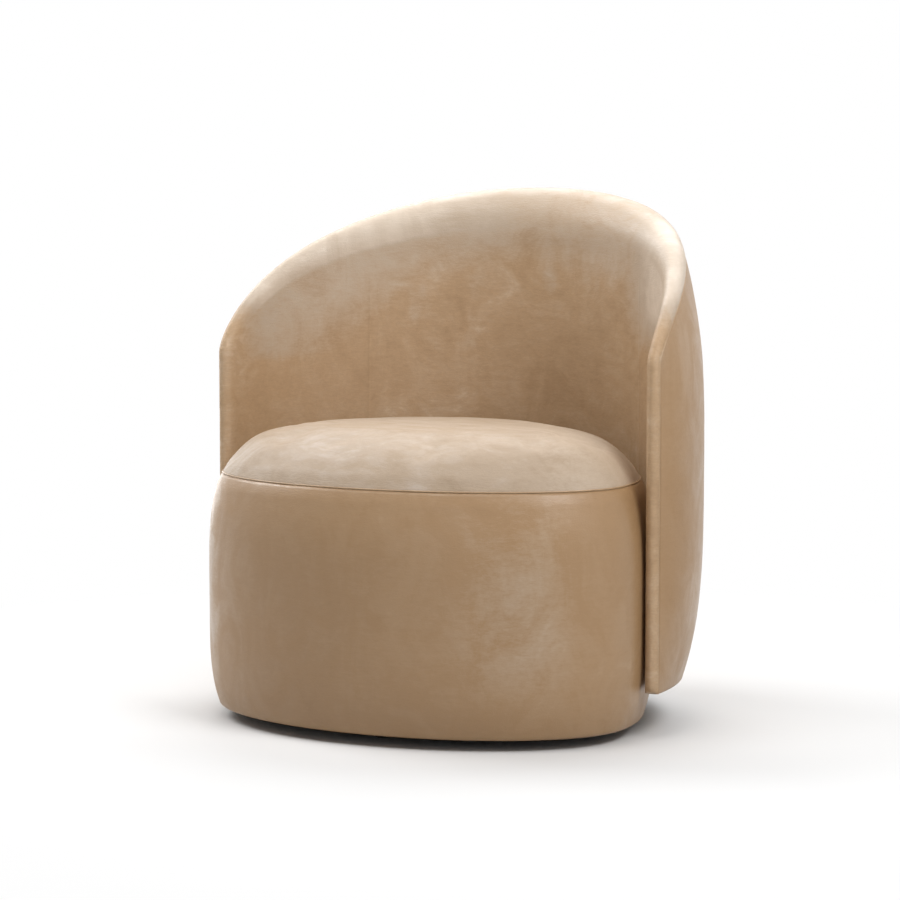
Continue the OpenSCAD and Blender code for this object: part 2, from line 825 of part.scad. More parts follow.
// Rings of a profile, then a half-size ring and a middle point that rise a little more
function crown_points(p) =
    let (last = p[len(p) - 1], middle = [0, swivel_y])
    concat(
        [for (q = p, k = [0:drum_cols - 1]) concat(drum_xy(drum_angle(k), q.x), q.y)],
        [for (k = [0:drum_cols - 1])
            concat(mix(middle, drum_xy(drum_angle(k), last.x), 0.5), last.y + 0.75 * seat_dome)],
        [concat(middle, last.y + seat_dome)]
    );

// Faces of closed rings of m points that end in one middle point
function disc_faces(rings, m) = concat(
    [for (i = [0:rings - 2], j = [0:m - 1])
        let (a = i * m + j, b = i * m + (j + 1) % m, c = a + m, d = b + m)
        each [[a, c, b], [b, c, d]]],
    [for (j = [0:m - 1]) [(rings - 1) * m + j, rings * m, (rings - 1) * m + (j + 1) % m]]
);
module seat_top_cover() {
    color(leather)
    slab(
        crown_points(crown_profile),
        crown_points(profile_inset(crown_profile, cover_t)),
        disc_faces(len(crown_profile) + 1, drum_cols),
        [for (j = [drum_cols - 1:-1:0]) j]
    );
}
module seat_foam() {
    crown = profile_inset(crown_profile, skin_in);
    profile = concat(
        [[side_draw(foam_z) + skin_in, foam_z], [seam_draw + skin_in + 1, seat_seam_z]],
        [for (k = [1:len(crown) - 1]) crown[k]]
    );
    color(foam)
    polyhedron(
        crown_points(profile),
        concat(
            disc_faces(len(profile) + 1, drum_cols),
            [for (j = [1:drum_cols - 2]) [0, j, j + 1]]
        )
    );
}

// The raised seam cord round the seat
module seat_welt() {
    color(leather)
    closed_ring([
        for (k = [0:drum_cols - 1])
            [for (j = [0:cord_sides - 1])
                let (a = 360 * j / cord_sides)
                concat(
                    drum_xy(drum_angle(k), seam_draw + welt_r - welt_proud - welt_r * cos(a)),
                    seat_seam_z + welt_r * sin(a)
                )]
    ]);
}

// A rib lies flat between the shell board and the straps behind the foam
module shell_rib(z, from) {
    us = [for (k = [0:shell_cols]) if (abs(col_angle(k) - 90) < 90 - from) col_angle(k)];
    translate([0, 0, z])
    linear_extrude(ply_t)
    polygon(concat(
        [for (u = us) edge_xy(u) + (span_puff(u, z, z + ply_t) - cavity_in) * edge_normal(u)],
        reversed([for (u = us) inner_xy(u) + rib_front(u) * edge_normal(u)])
    ));
}
module shell_bottom_rib() {
    color(wood) shell_rib(bottom_rib_z, bottom_rib_from);
}
module shell_seat_rib() {
    color(wood)
    difference() {
        shell_rib(seat_rail_z, seat_rib_from);
        for (u = bolt_angles) at_shell_bolt(u)
            cylinder(r = insert_r + bolt_play, h = rib_front(u) + insert_len + bolt_play);
    }
}
module shell_upper_rib() {
    color(wood) shell_rib(upper_rib_z, upper_rib_from);
}

// A post square to the shell between two heights, just inside the shell board
module shell_post(u, low, high) {
    n = edge_normal(u);
    p = edge_xy(u) + (span_puff(u, low - ply_t, high + ply_t) - cavity_in - post_play) * n;
    translate([p.x, p.y, low])
        rotate(atan2(n.y, n.x))
        translate([-shell_post_d, -post_w / 2, 0])
        cube([shell_post_d, post_w, high - low]);
}
module shell_posts() {
    color(wood) {
        for (u = post_angles) {
            shell_post(u, bottom_rib_z + ply_t, seat_rail_z);
            shell_post(u, rail_top_z, upper_rib_z);
            shell_post(u, upper_rib_z + ply_t, top_rail_low(u));
        }
        for (u = stile_angles) {
            shell_post(u, stile_low_z, seat_rail_z);
            shell_post(u, rail_top_z, upper_rib_z);
        }
    }
}

// The top rail follows the seam's line just inside the shell board
function top_rail_low(u) =
    let (half = asin(post_w / 2 / edge_b))
    min(edge_z(u - half), edge_z(u + half)) - top_rail_drop - top_rail_h - soft_gap;
module shell_top_rail() {
    us = [for (k = [0:shell_cols])
        if (abs(col_angle(k) - 90) < 90 - top_rail_from) col_angle(k)];
    color(wood)
    open_bar([
        for (u = us)
            let (
                out = edge_xy(u) - cavity_in * edge_normal(u),
                inside = out - top_rail_d * edge_normal(u),
                high = edge_z(u) - top_rail_drop
            )
            [
                concat(out, high - top_rail_h), concat(out, high),
                concat(inside, high), concat(inside, high - top_rail_h)
            ]
    ]);
}

// One sheet of the outer back: d in from the leather, from height low to a drop inside the seam
function back_point(u, d, z) = concat(edge_xy(u) + (puff(u, z) - d) * edge_normal(u), z);
function back_sheet(us, d, low, drop_front, drop_back) = [
    for (u = us, j = [0:back_rows])
        let (high = edge_z(u) - mix(drop_front, drop_back, sin(u)) / roll_dir(u).z)
        back_point(u, d, mix(low, high, 0.5 - 0.5 * cos(180 * j / back_rows)))
];
// The rim of a grid of n rows of m points, the way of its flipped faces
function grid_rim(n, m) = concat(
    [for (j = [0:m - 1]) j],
    [for (i = [1:n - 1]) i * m + m - 1],
    [for (j = [m - 2:-1:0]) (n - 1) * m + j],
    [for (i = [n - 2:-1:1]) i * m]
);
module back_layer(us, d, t, low, drop_front, drop_back) {
    slab(
        back_sheet(us, d, low, drop_front, drop_back),
        back_sheet(us, d + t, low, drop_front, drop_back),
        flipped(grid_faces(len(us), back_rows + 1)),
        grid_rim(len(us), back_rows + 1)
    );
}
module shell_board() {
    us = [for (k = [1:shell_cols - 1]) col_angle(k)];
    color(wood)
    back_layer(
        us, board_in, shell_board_t, shell_bottom_z + skin_in,
        board_drop_front, board_drop_back
    );
}
module outer_back_padding() {
    us = columns_behind(pad_drop);
    color(foam)
    back_layer(us, skin_in, outer_pad_t, shell_bottom_z + skin_in, pad_drop, pad_drop);
}

// Leather over the outside, with its lower edge turned in
function outer_cover_sheet(us, d) = [
    for (u = us)
        let (
            low = shell_bottom_z + d,
            high = edge_z(u) - (welt_r + soft_gap) / roll_dir(u).z
        )
        each concat(
            [concat(edge_xy(u) - shell_lip * edge_normal(u), low)],
            [for (j = [0:back_rows])
                back_point(u, d, mix(low, high, 0.5 - 0.5 * cos(180 * j / back_rows)))]
        )
];
module outer_back_cover() {
    us = columns_behind(welt_r + soft_gap);
    color(leather)
    slab(
        outer_cover_sheet(us, 0),
        outer_cover_sheet(us, cover_t),
        flipped(grid_faces(len(us), back_rows + 2)),
        grid_rim(len(us), back_rows + 2)
    );
}
module inner_back_cover() {
    color(leather)
    slab(inner_sheet("leather"), inner_sheet("lining"), inner_faces, inner_rim);
}
module inner_back_foam() {
    color(foam)
    slab(inner_sheet("foam face"), inner_sheet("foam back"), inner_faces, inner_rim);
}

// The raised seam cord between the inner and the outer leather
module back_welt() {
    color(leather)
    open_bar([
        for (k = [0:outline_n - 1])
            let (
                u = outline_u(k),
                n = edge_normal(u),
                p = concat(edge_xy(u) + (welt_proud - welt_r) * n, outline_z(k, shell_bottom_z))
            )
            [for (j = [0:cord_sides - 1])
                let (a = 360 * j / cord_sides)
                p + welt_r * (cos(a) * concat(n, 0) + sin(a) * roll_dir(u))]
    ]);
}

// Straps behind the foam, fixed to the three ribs
module back_webbing() {
    color(black)
    for (u = strap_angles) {
        n = edge_normal(u);
        p = inner_xy(u) + foam_back(u) * n;
        translate([p.x, p.y, bottom_rib_z])
            rotate(atan2(n.y, n.x))
            translate([0, -strap_w / 2, 0])
            cube([strap_t, strap_w, upper_rib_z + ply_t - bottom_rib_z]);
    }
}

// Bolts from inside the seat rail into threaded inserts in the shell's rib
module shell_bolts() {
    color(steel)
    for (u = bolt_angles) at_shell_bolt(u) {
        translate([0, 0, -bolt_head_in - bolt_head_h]) cylinder(r = bolt_head_r, h = bolt_head_h);
        translate([0, 0, -bolt_head_in - 1])
            cylinder(r = bolt_r, h = bolt_head_in + 1 + rib_front(u) + insert_len);
    }
}
module shell_inserts() {
    color(steel)
    for (u = bolt_angles) at_shell_bolt(u)
        translate([0, 0, rib_front(u)])
        difference() {
            cylinder(r = insert_r, h = insert_len);
            translate([0, 0, -1]) cylinder(r = bolt_r + bolt_play, h = insert_len + 2);
        }
}

floor_glides();
base_disc();
swivel_lower_plate();
lower_plate_screws();
swivel_pin();
ball_retainer();
swivel_balls();
swivel_upper_plate();
upper_plate_bolts();
upper_plate_nuts();
skirt_ring();
bottom_board();
drum_posts();
seat_rail();
drum_wrap_board();
seat_springs();
spring_clips();
deck_cloth();
seat_foam();
drum_side_padding();
drum_side_cover();
seat_top_cover();
seat_welt();
dust_cover();
shell_bottom_rib();
shell_seat_rib();
shell_upper_rib();
shell_top_rail();
shell_posts();
shell_board();
back_webbing();
inner_back_foam();
outer_back_padding();
inner_back_cover();
outer_back_cover();
back_welt();
shell_bolts();
shell_inserts();
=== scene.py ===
import json
import math

import bmesh
import bpy
import numpy as np
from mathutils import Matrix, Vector
from mathutils.geometry import delaunay_2d_cdt
from mathutils.kdtree import KDTree

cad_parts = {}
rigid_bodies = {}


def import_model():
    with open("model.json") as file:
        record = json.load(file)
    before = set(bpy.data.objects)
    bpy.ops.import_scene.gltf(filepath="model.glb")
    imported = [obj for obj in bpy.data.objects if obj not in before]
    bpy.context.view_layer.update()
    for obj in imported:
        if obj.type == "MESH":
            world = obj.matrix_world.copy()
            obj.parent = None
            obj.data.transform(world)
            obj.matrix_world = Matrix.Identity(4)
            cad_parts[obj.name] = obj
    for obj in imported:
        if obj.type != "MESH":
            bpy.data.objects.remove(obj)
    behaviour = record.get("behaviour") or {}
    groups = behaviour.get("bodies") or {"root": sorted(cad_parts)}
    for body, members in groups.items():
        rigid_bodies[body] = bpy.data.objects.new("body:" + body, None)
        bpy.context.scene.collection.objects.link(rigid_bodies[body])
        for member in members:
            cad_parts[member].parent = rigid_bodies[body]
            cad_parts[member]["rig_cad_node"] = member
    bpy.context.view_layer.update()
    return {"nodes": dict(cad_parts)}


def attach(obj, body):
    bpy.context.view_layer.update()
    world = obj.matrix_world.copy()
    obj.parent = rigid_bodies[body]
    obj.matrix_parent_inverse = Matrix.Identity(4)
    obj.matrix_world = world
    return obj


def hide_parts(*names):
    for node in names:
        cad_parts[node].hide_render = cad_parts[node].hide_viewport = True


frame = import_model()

# Shapes are worked out in millimetres, with the numbers and formulas of the part's own source
MM = 0.001

# The drum's plan, the plan's middles and the swivel's
DRUM_A, DRUM_FRONT, DRUM_REAR = 357.5, 228.0, 353.5
ARM_Y, DRUM_Y, SWIVEL_Y = -98.5, -131.5, -68.75
# The seam round the seat, how far it is drawn in, and the crown over it
SEAM_Z, SEAM_DRAW, CROWN, REACH, DOME = 383.0, 22.0, 70.0, 115.0, 4.0
# The drum's side
BULGE_Z, BOTTOM_DRAW, BOTTOM_Z, EDGE_R, DRUM_LIP = 213.0, 17.0, 17.0, 5.0, 23.0
# The shell: its outer and inner plan, its top line, its roll and its puffed outer panel
EDGE_A, EDGE_B, INNER_A, INNER_B = 381.0, 427.0, 359.0, 322.0
SHELL_Z, ARM_TOP, BACK_TOP, TOP_RUN, TOP_LIFT = 70.0, 563.0, 809.0, 1.05, 1.45
ARM_ROLL, BACK_ROLL, ARM_SHOULDER, BACK_SHOULDER = 11.0, 14.0, 9.0, 60.0
ROLL_LEAN, WING_LEAN, ROLL_SOFT, ARM_FOOT = 0.42, 0.1, 0.8, 14.0
PUFF, SHELL_LIP, OUTER_PAD = 31.0, 7.0, 3.0
# The cloth simulations: pressure, stiffness and the largest move of the seat and the back
SEAT_PRESSURE, SEAT_STIFF, SEAT_CAP = 4.0, 90.0, 6.0
BACK_PRESSURE, BACK_STIFF, BACK_CAP = 4.0, 12.0, 5.0
CLOTH_FRAMES = 20
# The leather, and the gap that soft pieces keep to each other
COVER, GAP = 1.8, 0.3
SKIN = COVER + GAP
# The piping's radius, how far it stands out, and the room that the covers leave for it
PIPING_R, PIPING_PROUD, PIPING_ROOM = 1.25, 0.8, 1.35
# Foam, boards and webbing
ARM_FOAM, BACK_FOAM, FRONT_FOAM, TOP_FOAM = 5.5, 48.0, 4.0, 14.0
WRAP_IN, FOAM_Z, SKIRT_Z = 28.4, 348.3, 19.1
RIB_Z, STRAP_TOP, STRAP_W, STRAP_T = 72.4, 518.0, 50.0, 1.5
BASE_R, CLOTH_T = 205.0, 1.0
DECK_Z, DECK_T, DECK_IN = 346.8, 1.2, 37.7


# Helpers


def mix(a, b, t):
    return a + (b - a) * t


def unit(v):
    return v / np.maximum(np.linalg.norm(v, axis=-1, keepdims=True), 1e-12)


def smoothstep(lo, hi, x):
    t = np.clip((x - lo) / (hi - lo), 0, 1)
    return t * t * (3 - 2 * t)


def lattice(i, j, k, seed):
    h = (i * 374761393 + j * 668265263 + k * 1440662683 + seed * 1274126177) & 0xFFFFFFFF
    h = ((h ^ (h >> 13)) * 1103515245) & 0xFFFFFFFF
    h = ((h ^ (h >> 15)) * 2246822519) & 0xFFFFFFFF
    return ((h ^ (h >> 16)) & 0xFFFF) / 32767.5 - 1


def value_noise(p, size, seed):
    """Smooth noise from -1 to 1 at points p, with cells of that size."""
    q = p / np.asarray(size, float) + 1000
    base = np.floor(q).astype(np.int64)
    f = q - base
    f = f * f * (3 - 2 * f)
    total = 0
    for dx in (0, 1):
        for dy in (0, 1):
            for dz in (0, 1):
                w = (
                    (f[:, 0] if dx else 1 - f[:, 0])
                    * (f[:, 1] if dy else 1 - f[:, 1])
                    * (f[:, 2] if dz else 1 - f[:, 2])
                )
                total = total + w * lattice(base[:, 0] + dx, base[:, 1] + dy, base[:, 2] + dz, seed)
    return total


def fbm(p, size, seed, octaves=3, gain=0.5):
    total, amp, norm = 0, 1.0, 0.0
    size = np.asarray(size, float)
    for o in range(octaves):
        total = total + amp * value_noise(p, size, seed + 17 * o)
        norm += amp
        amp *= gain
        size = size / 2.03
    return total / norm


def new_object(name, points, faces):
    """A mesh in the scene, from points in millimetres."""
    mesh = bpy.data.meshes.new(name)
    mesh.from_pydata((np.asarray(points) * MM).tolist(), [], [list(map(int, f)) for f in faces])
    obj = bpy.data.objects.new(name, mesh)
    bpy.context.scene.collection.objects.link(obj)
    return obj


def add_mesh(name, points, faces, material, body):
    obj = new_object(name, points, faces)
    obj.data.validate()
    obj.data.polygons.foreach_set("use_smooth", [True] * len(obj.data.polygons))
    obj.data.materials.append(material)
    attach(obj, body)
    return obj


def set_attribute(obj, name, values):
    attribute = obj.data.attributes.new(name, "FLOAT", "POINT")
    attribute.data.foreach_set("value", np.asarray(values, np.float32))


def vertex_normals(points, faces):
    """Normals of points, averaged over the faces around them."""
    normals = np.zeros_like(points)
    f = np.array([[q[0], q[1], q[2], q[3] if len(q) > 3 else q[2]] for q in faces])
    cross = np.cross(points[f[:, 2]] - points[f[:, 0]], points[f[:, 3]] - points[f[:, 1]])
    tri = f[:, 2] == f[:, 3]
    cross[tri] = np.cross(
        points[f[tri, 1]] - points[f[tri, 0]], points[f[tri, 2]] - points[f[tri, 0]]
    )
    for c in range(4):
        np.add.at(normals, f[:, c], cross)
    return unit(normals)


def grid_faces(rows, m, start=0, closed=False):
    """Faces of a grid of rows of m points."""
    faces = []
    for i in range(rows - 1):
        for j in range(m if closed else m - 1):
            a, b = start + i * m + j, start + i * m + (j + 1) % m
            faces.append((a, b, b + m, a + m))
    return faces


def flipped(faces, shift=0):
    return [tuple(v + shift for v in reversed(f)) for f in faces]


def grid_rim(rows, m):
    """The point numbers round the border of a grid of rows of m points."""
    return (
        list(range(m))
        + [i * m + m - 1 for i in range(1, rows)]
        + [(rows - 1) * m + j for j in range(m - 2, -1, -1)]
        + [i * m for i in range(rows - 2, 0, -1)]
    )


def loop_faces(front, back):
    """A closed band of faces between two loops of point numbers."""
    n = len(front)
    return [(front[k], front[(k + 1) % n], back[(k + 1) % n], back[k]) for k in range(n)]


def even(values, line):
    """A function that picks n of the values, evenly by the length of their line of points."""
    length = np.concatenate([[0], np.cumsum(np.linalg.norm(np.diff(line, axis=0), axis=1))])
    return lambda n: np.interp(np.linspace(0, length[-1], n), length, values)


def inflated(points, faces, pinned, pressure, stiffness):
    """How far cloth under pressure moves points, with the pinned ones held."""
    form = new_object("cloth_form", points, faces)
    held = form.vertex_groups.new(name="held")
    held.add([int(v) for v in pinned], 1.0, "REPLACE")
    cloth = form.modifiers.new("cloth", "CLOTH")
    cloth.settings.quality = 8
    cloth.settings.mass = 0.25
    cloth.settings.tension_stiffness = stiffness
    cloth.settings.compression_stiffness = stiffness
    cloth.settings.shear_stiffness = stiffness / 3
    cloth.settings.bending_stiffness = stiffness / 40
    cloth.settings.vertex_group_mass = "held"
    cloth.settings.use_pressure = True
    cloth.settings.uniform_pressure_force = pressure
    cloth.settings.effector_weights.gravity = 0
    cloth.collision_settings.use_collision = False
    cloth.point_cache.frame_end = CLOTH_FRAMES
    scene = bpy.context.scene
    for frame_number in range(1, CLOTH_FRAMES + 1):
        scene.frame_set(frame_number)
    swollen = form.evaluated_get(bpy.context.evaluated_depsgraph_get()).data
    mesh = form.data
    moved = np.empty(len(mesh.vertices) * 3, np.float32)
    swollen.vertices.foreach_get("co", moved)
    bpy.data.objects.remove(form)
    bpy.data.meshes.remove(mesh)
    scene.frame_set(1)
    return moved.reshape(-1, 3).astype(float) / MM - np.asarray(points)


def carried(form_points, moves, points, cap):
    """Moves of a coarse form carried over to the points near it, none longer than cap."""
    tree = KDTree(len(form_points))
    for i, p in enumerate(form_points):
        tree.insert(p, i)
    tree.balance()
    out = np.zeros_like(points)
    for k, p in enumerate(points):
        found = tree.find_n(p, 8)
        reach = found[-1][2] * 1.02 + 1e-6
        weights = np.array([(1 - f[2] / reach) ** 2 for f in found])
        out[k] = weights @ moves[[f[1] for f in found]] / weights.sum()
    size = np.linalg.norm(out, axis=1, keepdims=True)
    return out * np.minimum(1, cap / np.maximum(size, 1e-9))


# Plans and outlines of the source


def drum_xy(u, d):
    b = np.where(np.sin(u) < 0, DRUM_FRONT, DRUM_REAR)
    return np.stack([(DRUM_A - d) * np.cos(u), DRUM_Y + (b - d) * np.sin(u)], -1)


def edge_xy(u):
    return np.stack([EDGE_A * np.cos(u), ARM_Y + EDGE_B * np.sin(u)], -1)


def inner_xy(u):
    return np.stack([INNER_A * np.cos(u), ARM_Y + INNER_B * np.sin(u)], -1)


def edge_normal(u):
    return unit(np.stack([np.cos(u) / EDGE_A, np.sin(u) / EDGE_B], -1))


def wall_t(u):
    return np.sum((edge_xy(u) - inner_xy(u)) * edge_normal(u), -1)


def edge_z(u):
    rise = np.maximum(0, 1 - (1 - np.minimum(1, np.abs(np.sin(u)))) ** TOP_RUN)
    return ARM_TOP + (BACK_TOP - ARM_TOP) * rise ** (1 / TOP_LIFT)


def sinu(u):
    return np.clip(np.sin(u), 0, 1)


def roll_h(u):
    return mix(ARM_ROLL, BACK_ROLL, sinu(u))


def shoulder(u):
    return mix(ARM_SHOULDER, BACK_SHOULDER, sinu(u))


def wing_share(u):
    """1 on the two wings between the arms and the back, 0 on the arms and in the middle."""
    return smoothstep(0.12, 0.5, np.sin(u)) * smoothstep(1.0, 0.8, np.sin(u))


def foam_depth(u):
    return mix(ARM_FOAM, BACK_FOAM, (wall_t(u) - 22.0) / 83.0)


def puff(u, z):
    t = (z - SHELL_Z) / (edge_z(u) - SHELL_Z)
    share = 1 - np.abs(1 - u / (math.pi / 2)) ** 15
    return PUFF * share * np.maximum(0, 1 - np.abs(2 * t - 1) ** 3.3)


def edge_round(z):
    x = np.clip((BOTTOM_Z + EDGE_R - z) / EDGE_R, 0, 1)
    return EDGE_R * (1 - np.sqrt(1 - x * x))


def side_draw(z):
    z = np.asarray(z, float)
    high = SEAM_DRAW * np.maximum(0, (z - BULGE_Z) / (SEAM_Z - BULGE_Z)) ** 3.6
    low = BOTTOM_DRAW * np.maximum(0, (BULGE_Z - z) / (BULGE_Z - BOTTOM_Z)) ** 4.6
    return np.where(z > BULGE_Z, high, low + edge_round(z))


# Materials


class Nodes:
    """A few shortcuts to build the nodes of one material, or of the world."""

    def __init__(self, name, owners=None, output="ShaderNodeOutputMaterial"):
        self.owner = (bpy.data.materials if owners is None else owners).new(name)
        self.owner.use_nodes = True
        self.tree = self.owner.node_tree
        self.tree.nodes.clear()
        self.out = self.tree.nodes.new(output)

    @property
    def coord(self):
        if "Texture Coordinate" not in self.tree.nodes:
            self.tree.nodes.new("ShaderNodeTexCoord")
        return self.tree.nodes["Texture Coordinate"].outputs["Object"]

    def add(self, kind, inputs=None, **props):
        n = self.tree.nodes.new(kind)
        for k, v in props.items():
            setattr(n, k, v)
        for k, v in (inputs or {}).items():
            if isinstance(v, bpy.types.NodeSocket):
                self.tree.links.new(v, n.inputs[k])
            else:
                n.inputs[k].default_value = v
        return n

    def mapped(self, scale):
        return self.add("ShaderNodeMapping", {"Vector": self.coord, "Scale": scale}).outputs[0]

    def noise(self, scale, detail=4.0, rough=0.6, distort=0.0, vector=None):
        inputs = {"Vector": vector or self.coord, "Scale": scale, "Detail": detail}
        inputs |= {"Roughness": rough, "Distortion": distort}
        return self.add("ShaderNodeTexNoise", inputs).outputs["Fac"]

    def wave(self, scale, distort, detail, direction):
        inputs = {"Vector": self.coord, "Scale": scale, "Distortion": distort, "Detail": detail}
        return self.add("ShaderNodeTexWave", inputs, bands_direction=direction).outputs["Fac"]

    def math(self, op, a, b=0.0, c=0.0):
        return self.add("ShaderNodeMath", {0: a, 1: b, 2: c}, operation=op).outputs[0]

    def weighted(self, first, first_weight, second, second_weight):
        """The sum of two values, each times its weight."""
        return self.math(
            "ADD",
            self.math("MULTIPLY", first, first_weight),
            self.math("MULTIPLY", second, second_weight),
        )

    def ramp(self, fac, stops, smooth=False):
        n = self.add("ShaderNodeValToRGB", {0: fac})
        if smooth:
            n.color_ramp.interpolation = "EASE"
        while len(n.color_ramp.elements) < len(stops):
            n.color_ramp.elements.new(0.5)
        for element, (position, colour) in zip(n.color_ramp.elements, stops):
            element.position = position
            element.color = (*colour, 1)
        return n.outputs[0]

    def grey(self, fac, lo, hi, a=0.0, b=1.0):
        inputs = {"Value": fac, "From Min": lo, "From Max": hi, "To Min": a, "To Max": b}
        return self.add("ShaderNodeMapRange", inputs).outputs[0]

    def mixed(self, fac, a, b, blend="MIX"):
        inputs = {0: fac, 6: a, 7: (*b, 1) if isinstance(b, tuple) else b}
        return self.add("ShaderNodeMix", inputs, data_type="RGBA", blend_type=blend).outputs[2]

    def bump(self, height, strength, distance):
        inputs = {"Height": height, "Strength": strength, "Distance": distance}
        return self.add("ShaderNodeBump", inputs).outputs[0]

    def attribute(self, name):
        return self.add("ShaderNodeAttribute", attribute_name=name).outputs["Fac"]

    def seen(self):
        """1 for the rays that show the floor and the backdrop, 0 for those that light."""
        path = self.add("ShaderNodeLightPath").outputs
        seen = self.math("MAXIMUM", path["Is Camera Ray"], path["Is Transmission Ray"])
        return self.math("MAXIMUM", seen, path["Is Glossy Ray"])

    def blended(self, fac, first, second):
        return self.add("ShaderNodeMixShader", {0: fac, 1: first, 2: second}).outputs[0]

    def finished(self, shader):
        self.tree.links.new(shader, self.out.inputs[0])
        return self.owner

    def surface(self, **inputs):
        named = {k.replace("_", " "): v for k, v in inputs.items()}
        return self.finished(self.add("ShaderNodeBsdfPrincipled", named).outputs[0])


# Colours mixed in where the leather is marked pale: a pale tan that is partly rubbed leather and
# partly painted highlight, and a paler one that is painted highlight only
RUBBED_AND_HIGHLIGHT_TAN, PAINTED_HIGHLIGHT_PALE = (0.47, 0.37, 0.275), (0.72, 0.615, 0.505)


def leather(name, shade, grain_run=(13, 13, 8), panels=False, contrast=1.0, fine=0.03,
            coat=(0.3, 0.28), dull=0.0):
    """Waxed leather: clouds, wisps of changing gloss, rubbed places, painted highlights and a fine
    pebbled grain.

    shade scales its colour, contrast and fine set how strong the wisps and the threads are,
    coat is the weight and the roughness of the wax, and dull is added to the roughness."""
    m = Nodes(name)

    def tone(r, g, b):
        return (r * shade[0], g * shade[1], b * shade[2])

    clouds = m.noise(4.5, 3.0, 0.5, 0.5)
    wisps = m.noise(1.0, 7.0, 0.64, 1.5, m.mapped(grain_run))
    strokes = m.noise(1.0, 3.0, 0.6, 0.4, m.mapped((34, 34, 130)))
    blended = m.math("ADD", m.weighted(clouds, 0.4, wisps, 0.42), m.math("MULTIPLY", strokes, 0.18))
    # The mean of this sum of noises
    mean = 0.51
    colour = m.ramp(
        blended,
        [
            (mean - 0.15 / contrast, tone(0.292, 0.172, 0.083)),
            (mean - 0.03 / contrast, tone(0.325, 0.196, 0.098)),
            (mean + 0.05 / contrast, tone(0.345, 0.214, 0.113)),
            (mean + 0.15 / contrast, tone(0.39, 0.256, 0.15)),
        ],
        smooth=True,
    )
    if panels:
        colour = m.mixed(m.attribute("panel"), colour, tone(0.31, 0.182, 0.088))
    threads = m.noise(1.0, 2.0, 0.6, 0.8, m.mapped((130, 130, 420)))
    colour = m.mixed(1.0, colour, m.grey(threads, 0.35, 0.65, 1 - fine, 1 + fine), "MULTIPLY")
    # Pale rubbed leather and painted highlights, with a ragged border of wisps; the palest colour
    # is painted highlight only
    rubbed_and_highlight = m.attribute("wear_and_highlight")
    ragged = m.math("MULTIPLY_ADD", m.math("SUBTRACT", blended, mean), 2.2, rubbed_and_highlight)
    wear_and_highlight = m.math("MULTIPLY_ADD", m.math("SUBTRACT", threads, 0.5), 0.5, ragged)
    wear_and_highlight = m.math("MULTIPLY", m.grey(wear_and_highlight, 0.1, 1.0), m.grey(rubbed_and_highlight, 0.0, 0.3))
    colour = m.mixed(wear_and_highlight, colour, RUBBED_AND_HIGHLIGHT_TAN)
    colour = m.mixed(m.grey(ragged, 1.0, 2.0), colour, PAINTED_HIGHLIGHT_PALE)
    # Pebbled grain, and fine creases that run where the leather is pulled
    pull = m.attribute("pull")
    pebbles = m.add(
        "ShaderNodeTexVoronoi", {"Vector": m.coord, "Scale": 520.0, "Randomness": 1.0}
    ).outputs["Distance"]
    creases = m.noise(1.0, 3.0, 0.6, 1.2, m.mapped((55, 55, 330)))
    lumps = m.noise(62.0, 3.0, 0.55, 0.6)
    creased = m.math("MULTIPLY", creases, m.math("MULTIPLY_ADD", pull, 1.7, 0.1))
    relief = m.math("ADD", m.weighted(pebbles, 0.26, lumps, 0.5), creased)
    gloss = m.grey(wisps, 0.36, 0.64, 0.5 + dull, 0.3 + dull)
    rough = m.math("ADD", gloss, m.math("MULTIPLY", pebbles, 0.1))
    rough = m.math("MULTIPLY_ADD", wear_and_highlight, -0.08, rough)
    return m.surface(
        Base_Color=colour,
        Roughness=rough,
        IOR=1.5,
        Coat_Weight=coat[0],
        Coat_Roughness=coat[1],
        Normal=m.bump(relief, 0.42, 0.0012),
    )


def plywood(name):
    m = Nodes(name)
    grain = m.noise(1.0, 6.0, 0.65, 0.6, m.mapped((9, 90, 90)))
    tone = m.weighted(grain, 0.75, m.wave(110.0, 0.7, 2.0, "Z"), 0.25)
    colours = [(0.25, (0.42, 0.27, 0.14)), (0.6, (0.62, 0.44, 0.26)), (0.85, (0.74, 0.58, 0.38))]
    return m.surface(
        Base_Color=m.ramp(tone, colours),
        Roughness=m.grey(grain, 0.3, 0.7, 0.55, 0.72),
        Normal=m.bump(tone, 0.2, 0.0004),
    )


def painted_board(name):
    m = Nodes(name)
    speck = m.noise(420.0, 4.0, 0.7)
    scuff = m.noise(18.0, 5.0, 0.7, 1.0)
    return m.surface(
        Base_Color=m.ramp(scuff, [(0.35, (0.012, 0.012, 0.013)), (0.75, (0.03, 0.029, 0.028))]),
        Roughness=m.grey(scuff, 0.3, 0.7, 0.42, 0.6),
        Normal=m.bump(speck, 0.12, 0.0003),
    )


def brushed(name, colour, along):
    m = Nodes(name)
    lines = m.noise(1.0, 4.0, 0.7, 0.0, m.mapped(along))
    dull = m.noise(35.0, 4.0, 0.6)
    return m.surface(
        Base_Color=m.ramp(dull, [(0.3, tuple(0.8 * c for c in colour)), (0.7, colour)]),
        Metallic=1.0,
        Roughness=m.grey(lines, 0.3, 0.7, 0.26, 0.42),
        Normal=m.bump(lines, 0.08, 0.0002),
    )


def moulded(name):
    m = Nodes(name)
    fine = m.noise(900.0, 2.0, 0.5)
    wear_and_highlight = m.noise(60.0, 3.0, 0.6)
    return m.surface(
        Base_Color=m.ramp(wear_and_highlight, [(0.3, (0.02, 0.02, 0.021)), (0.8, (0.045, 0.044, 0.043))]),
        Roughness=m.grey(wear_and_highlight, 0.3, 0.7, 0.45, 0.62),
        Normal=m.bump(fine, 0.15, 0.0002),
    )


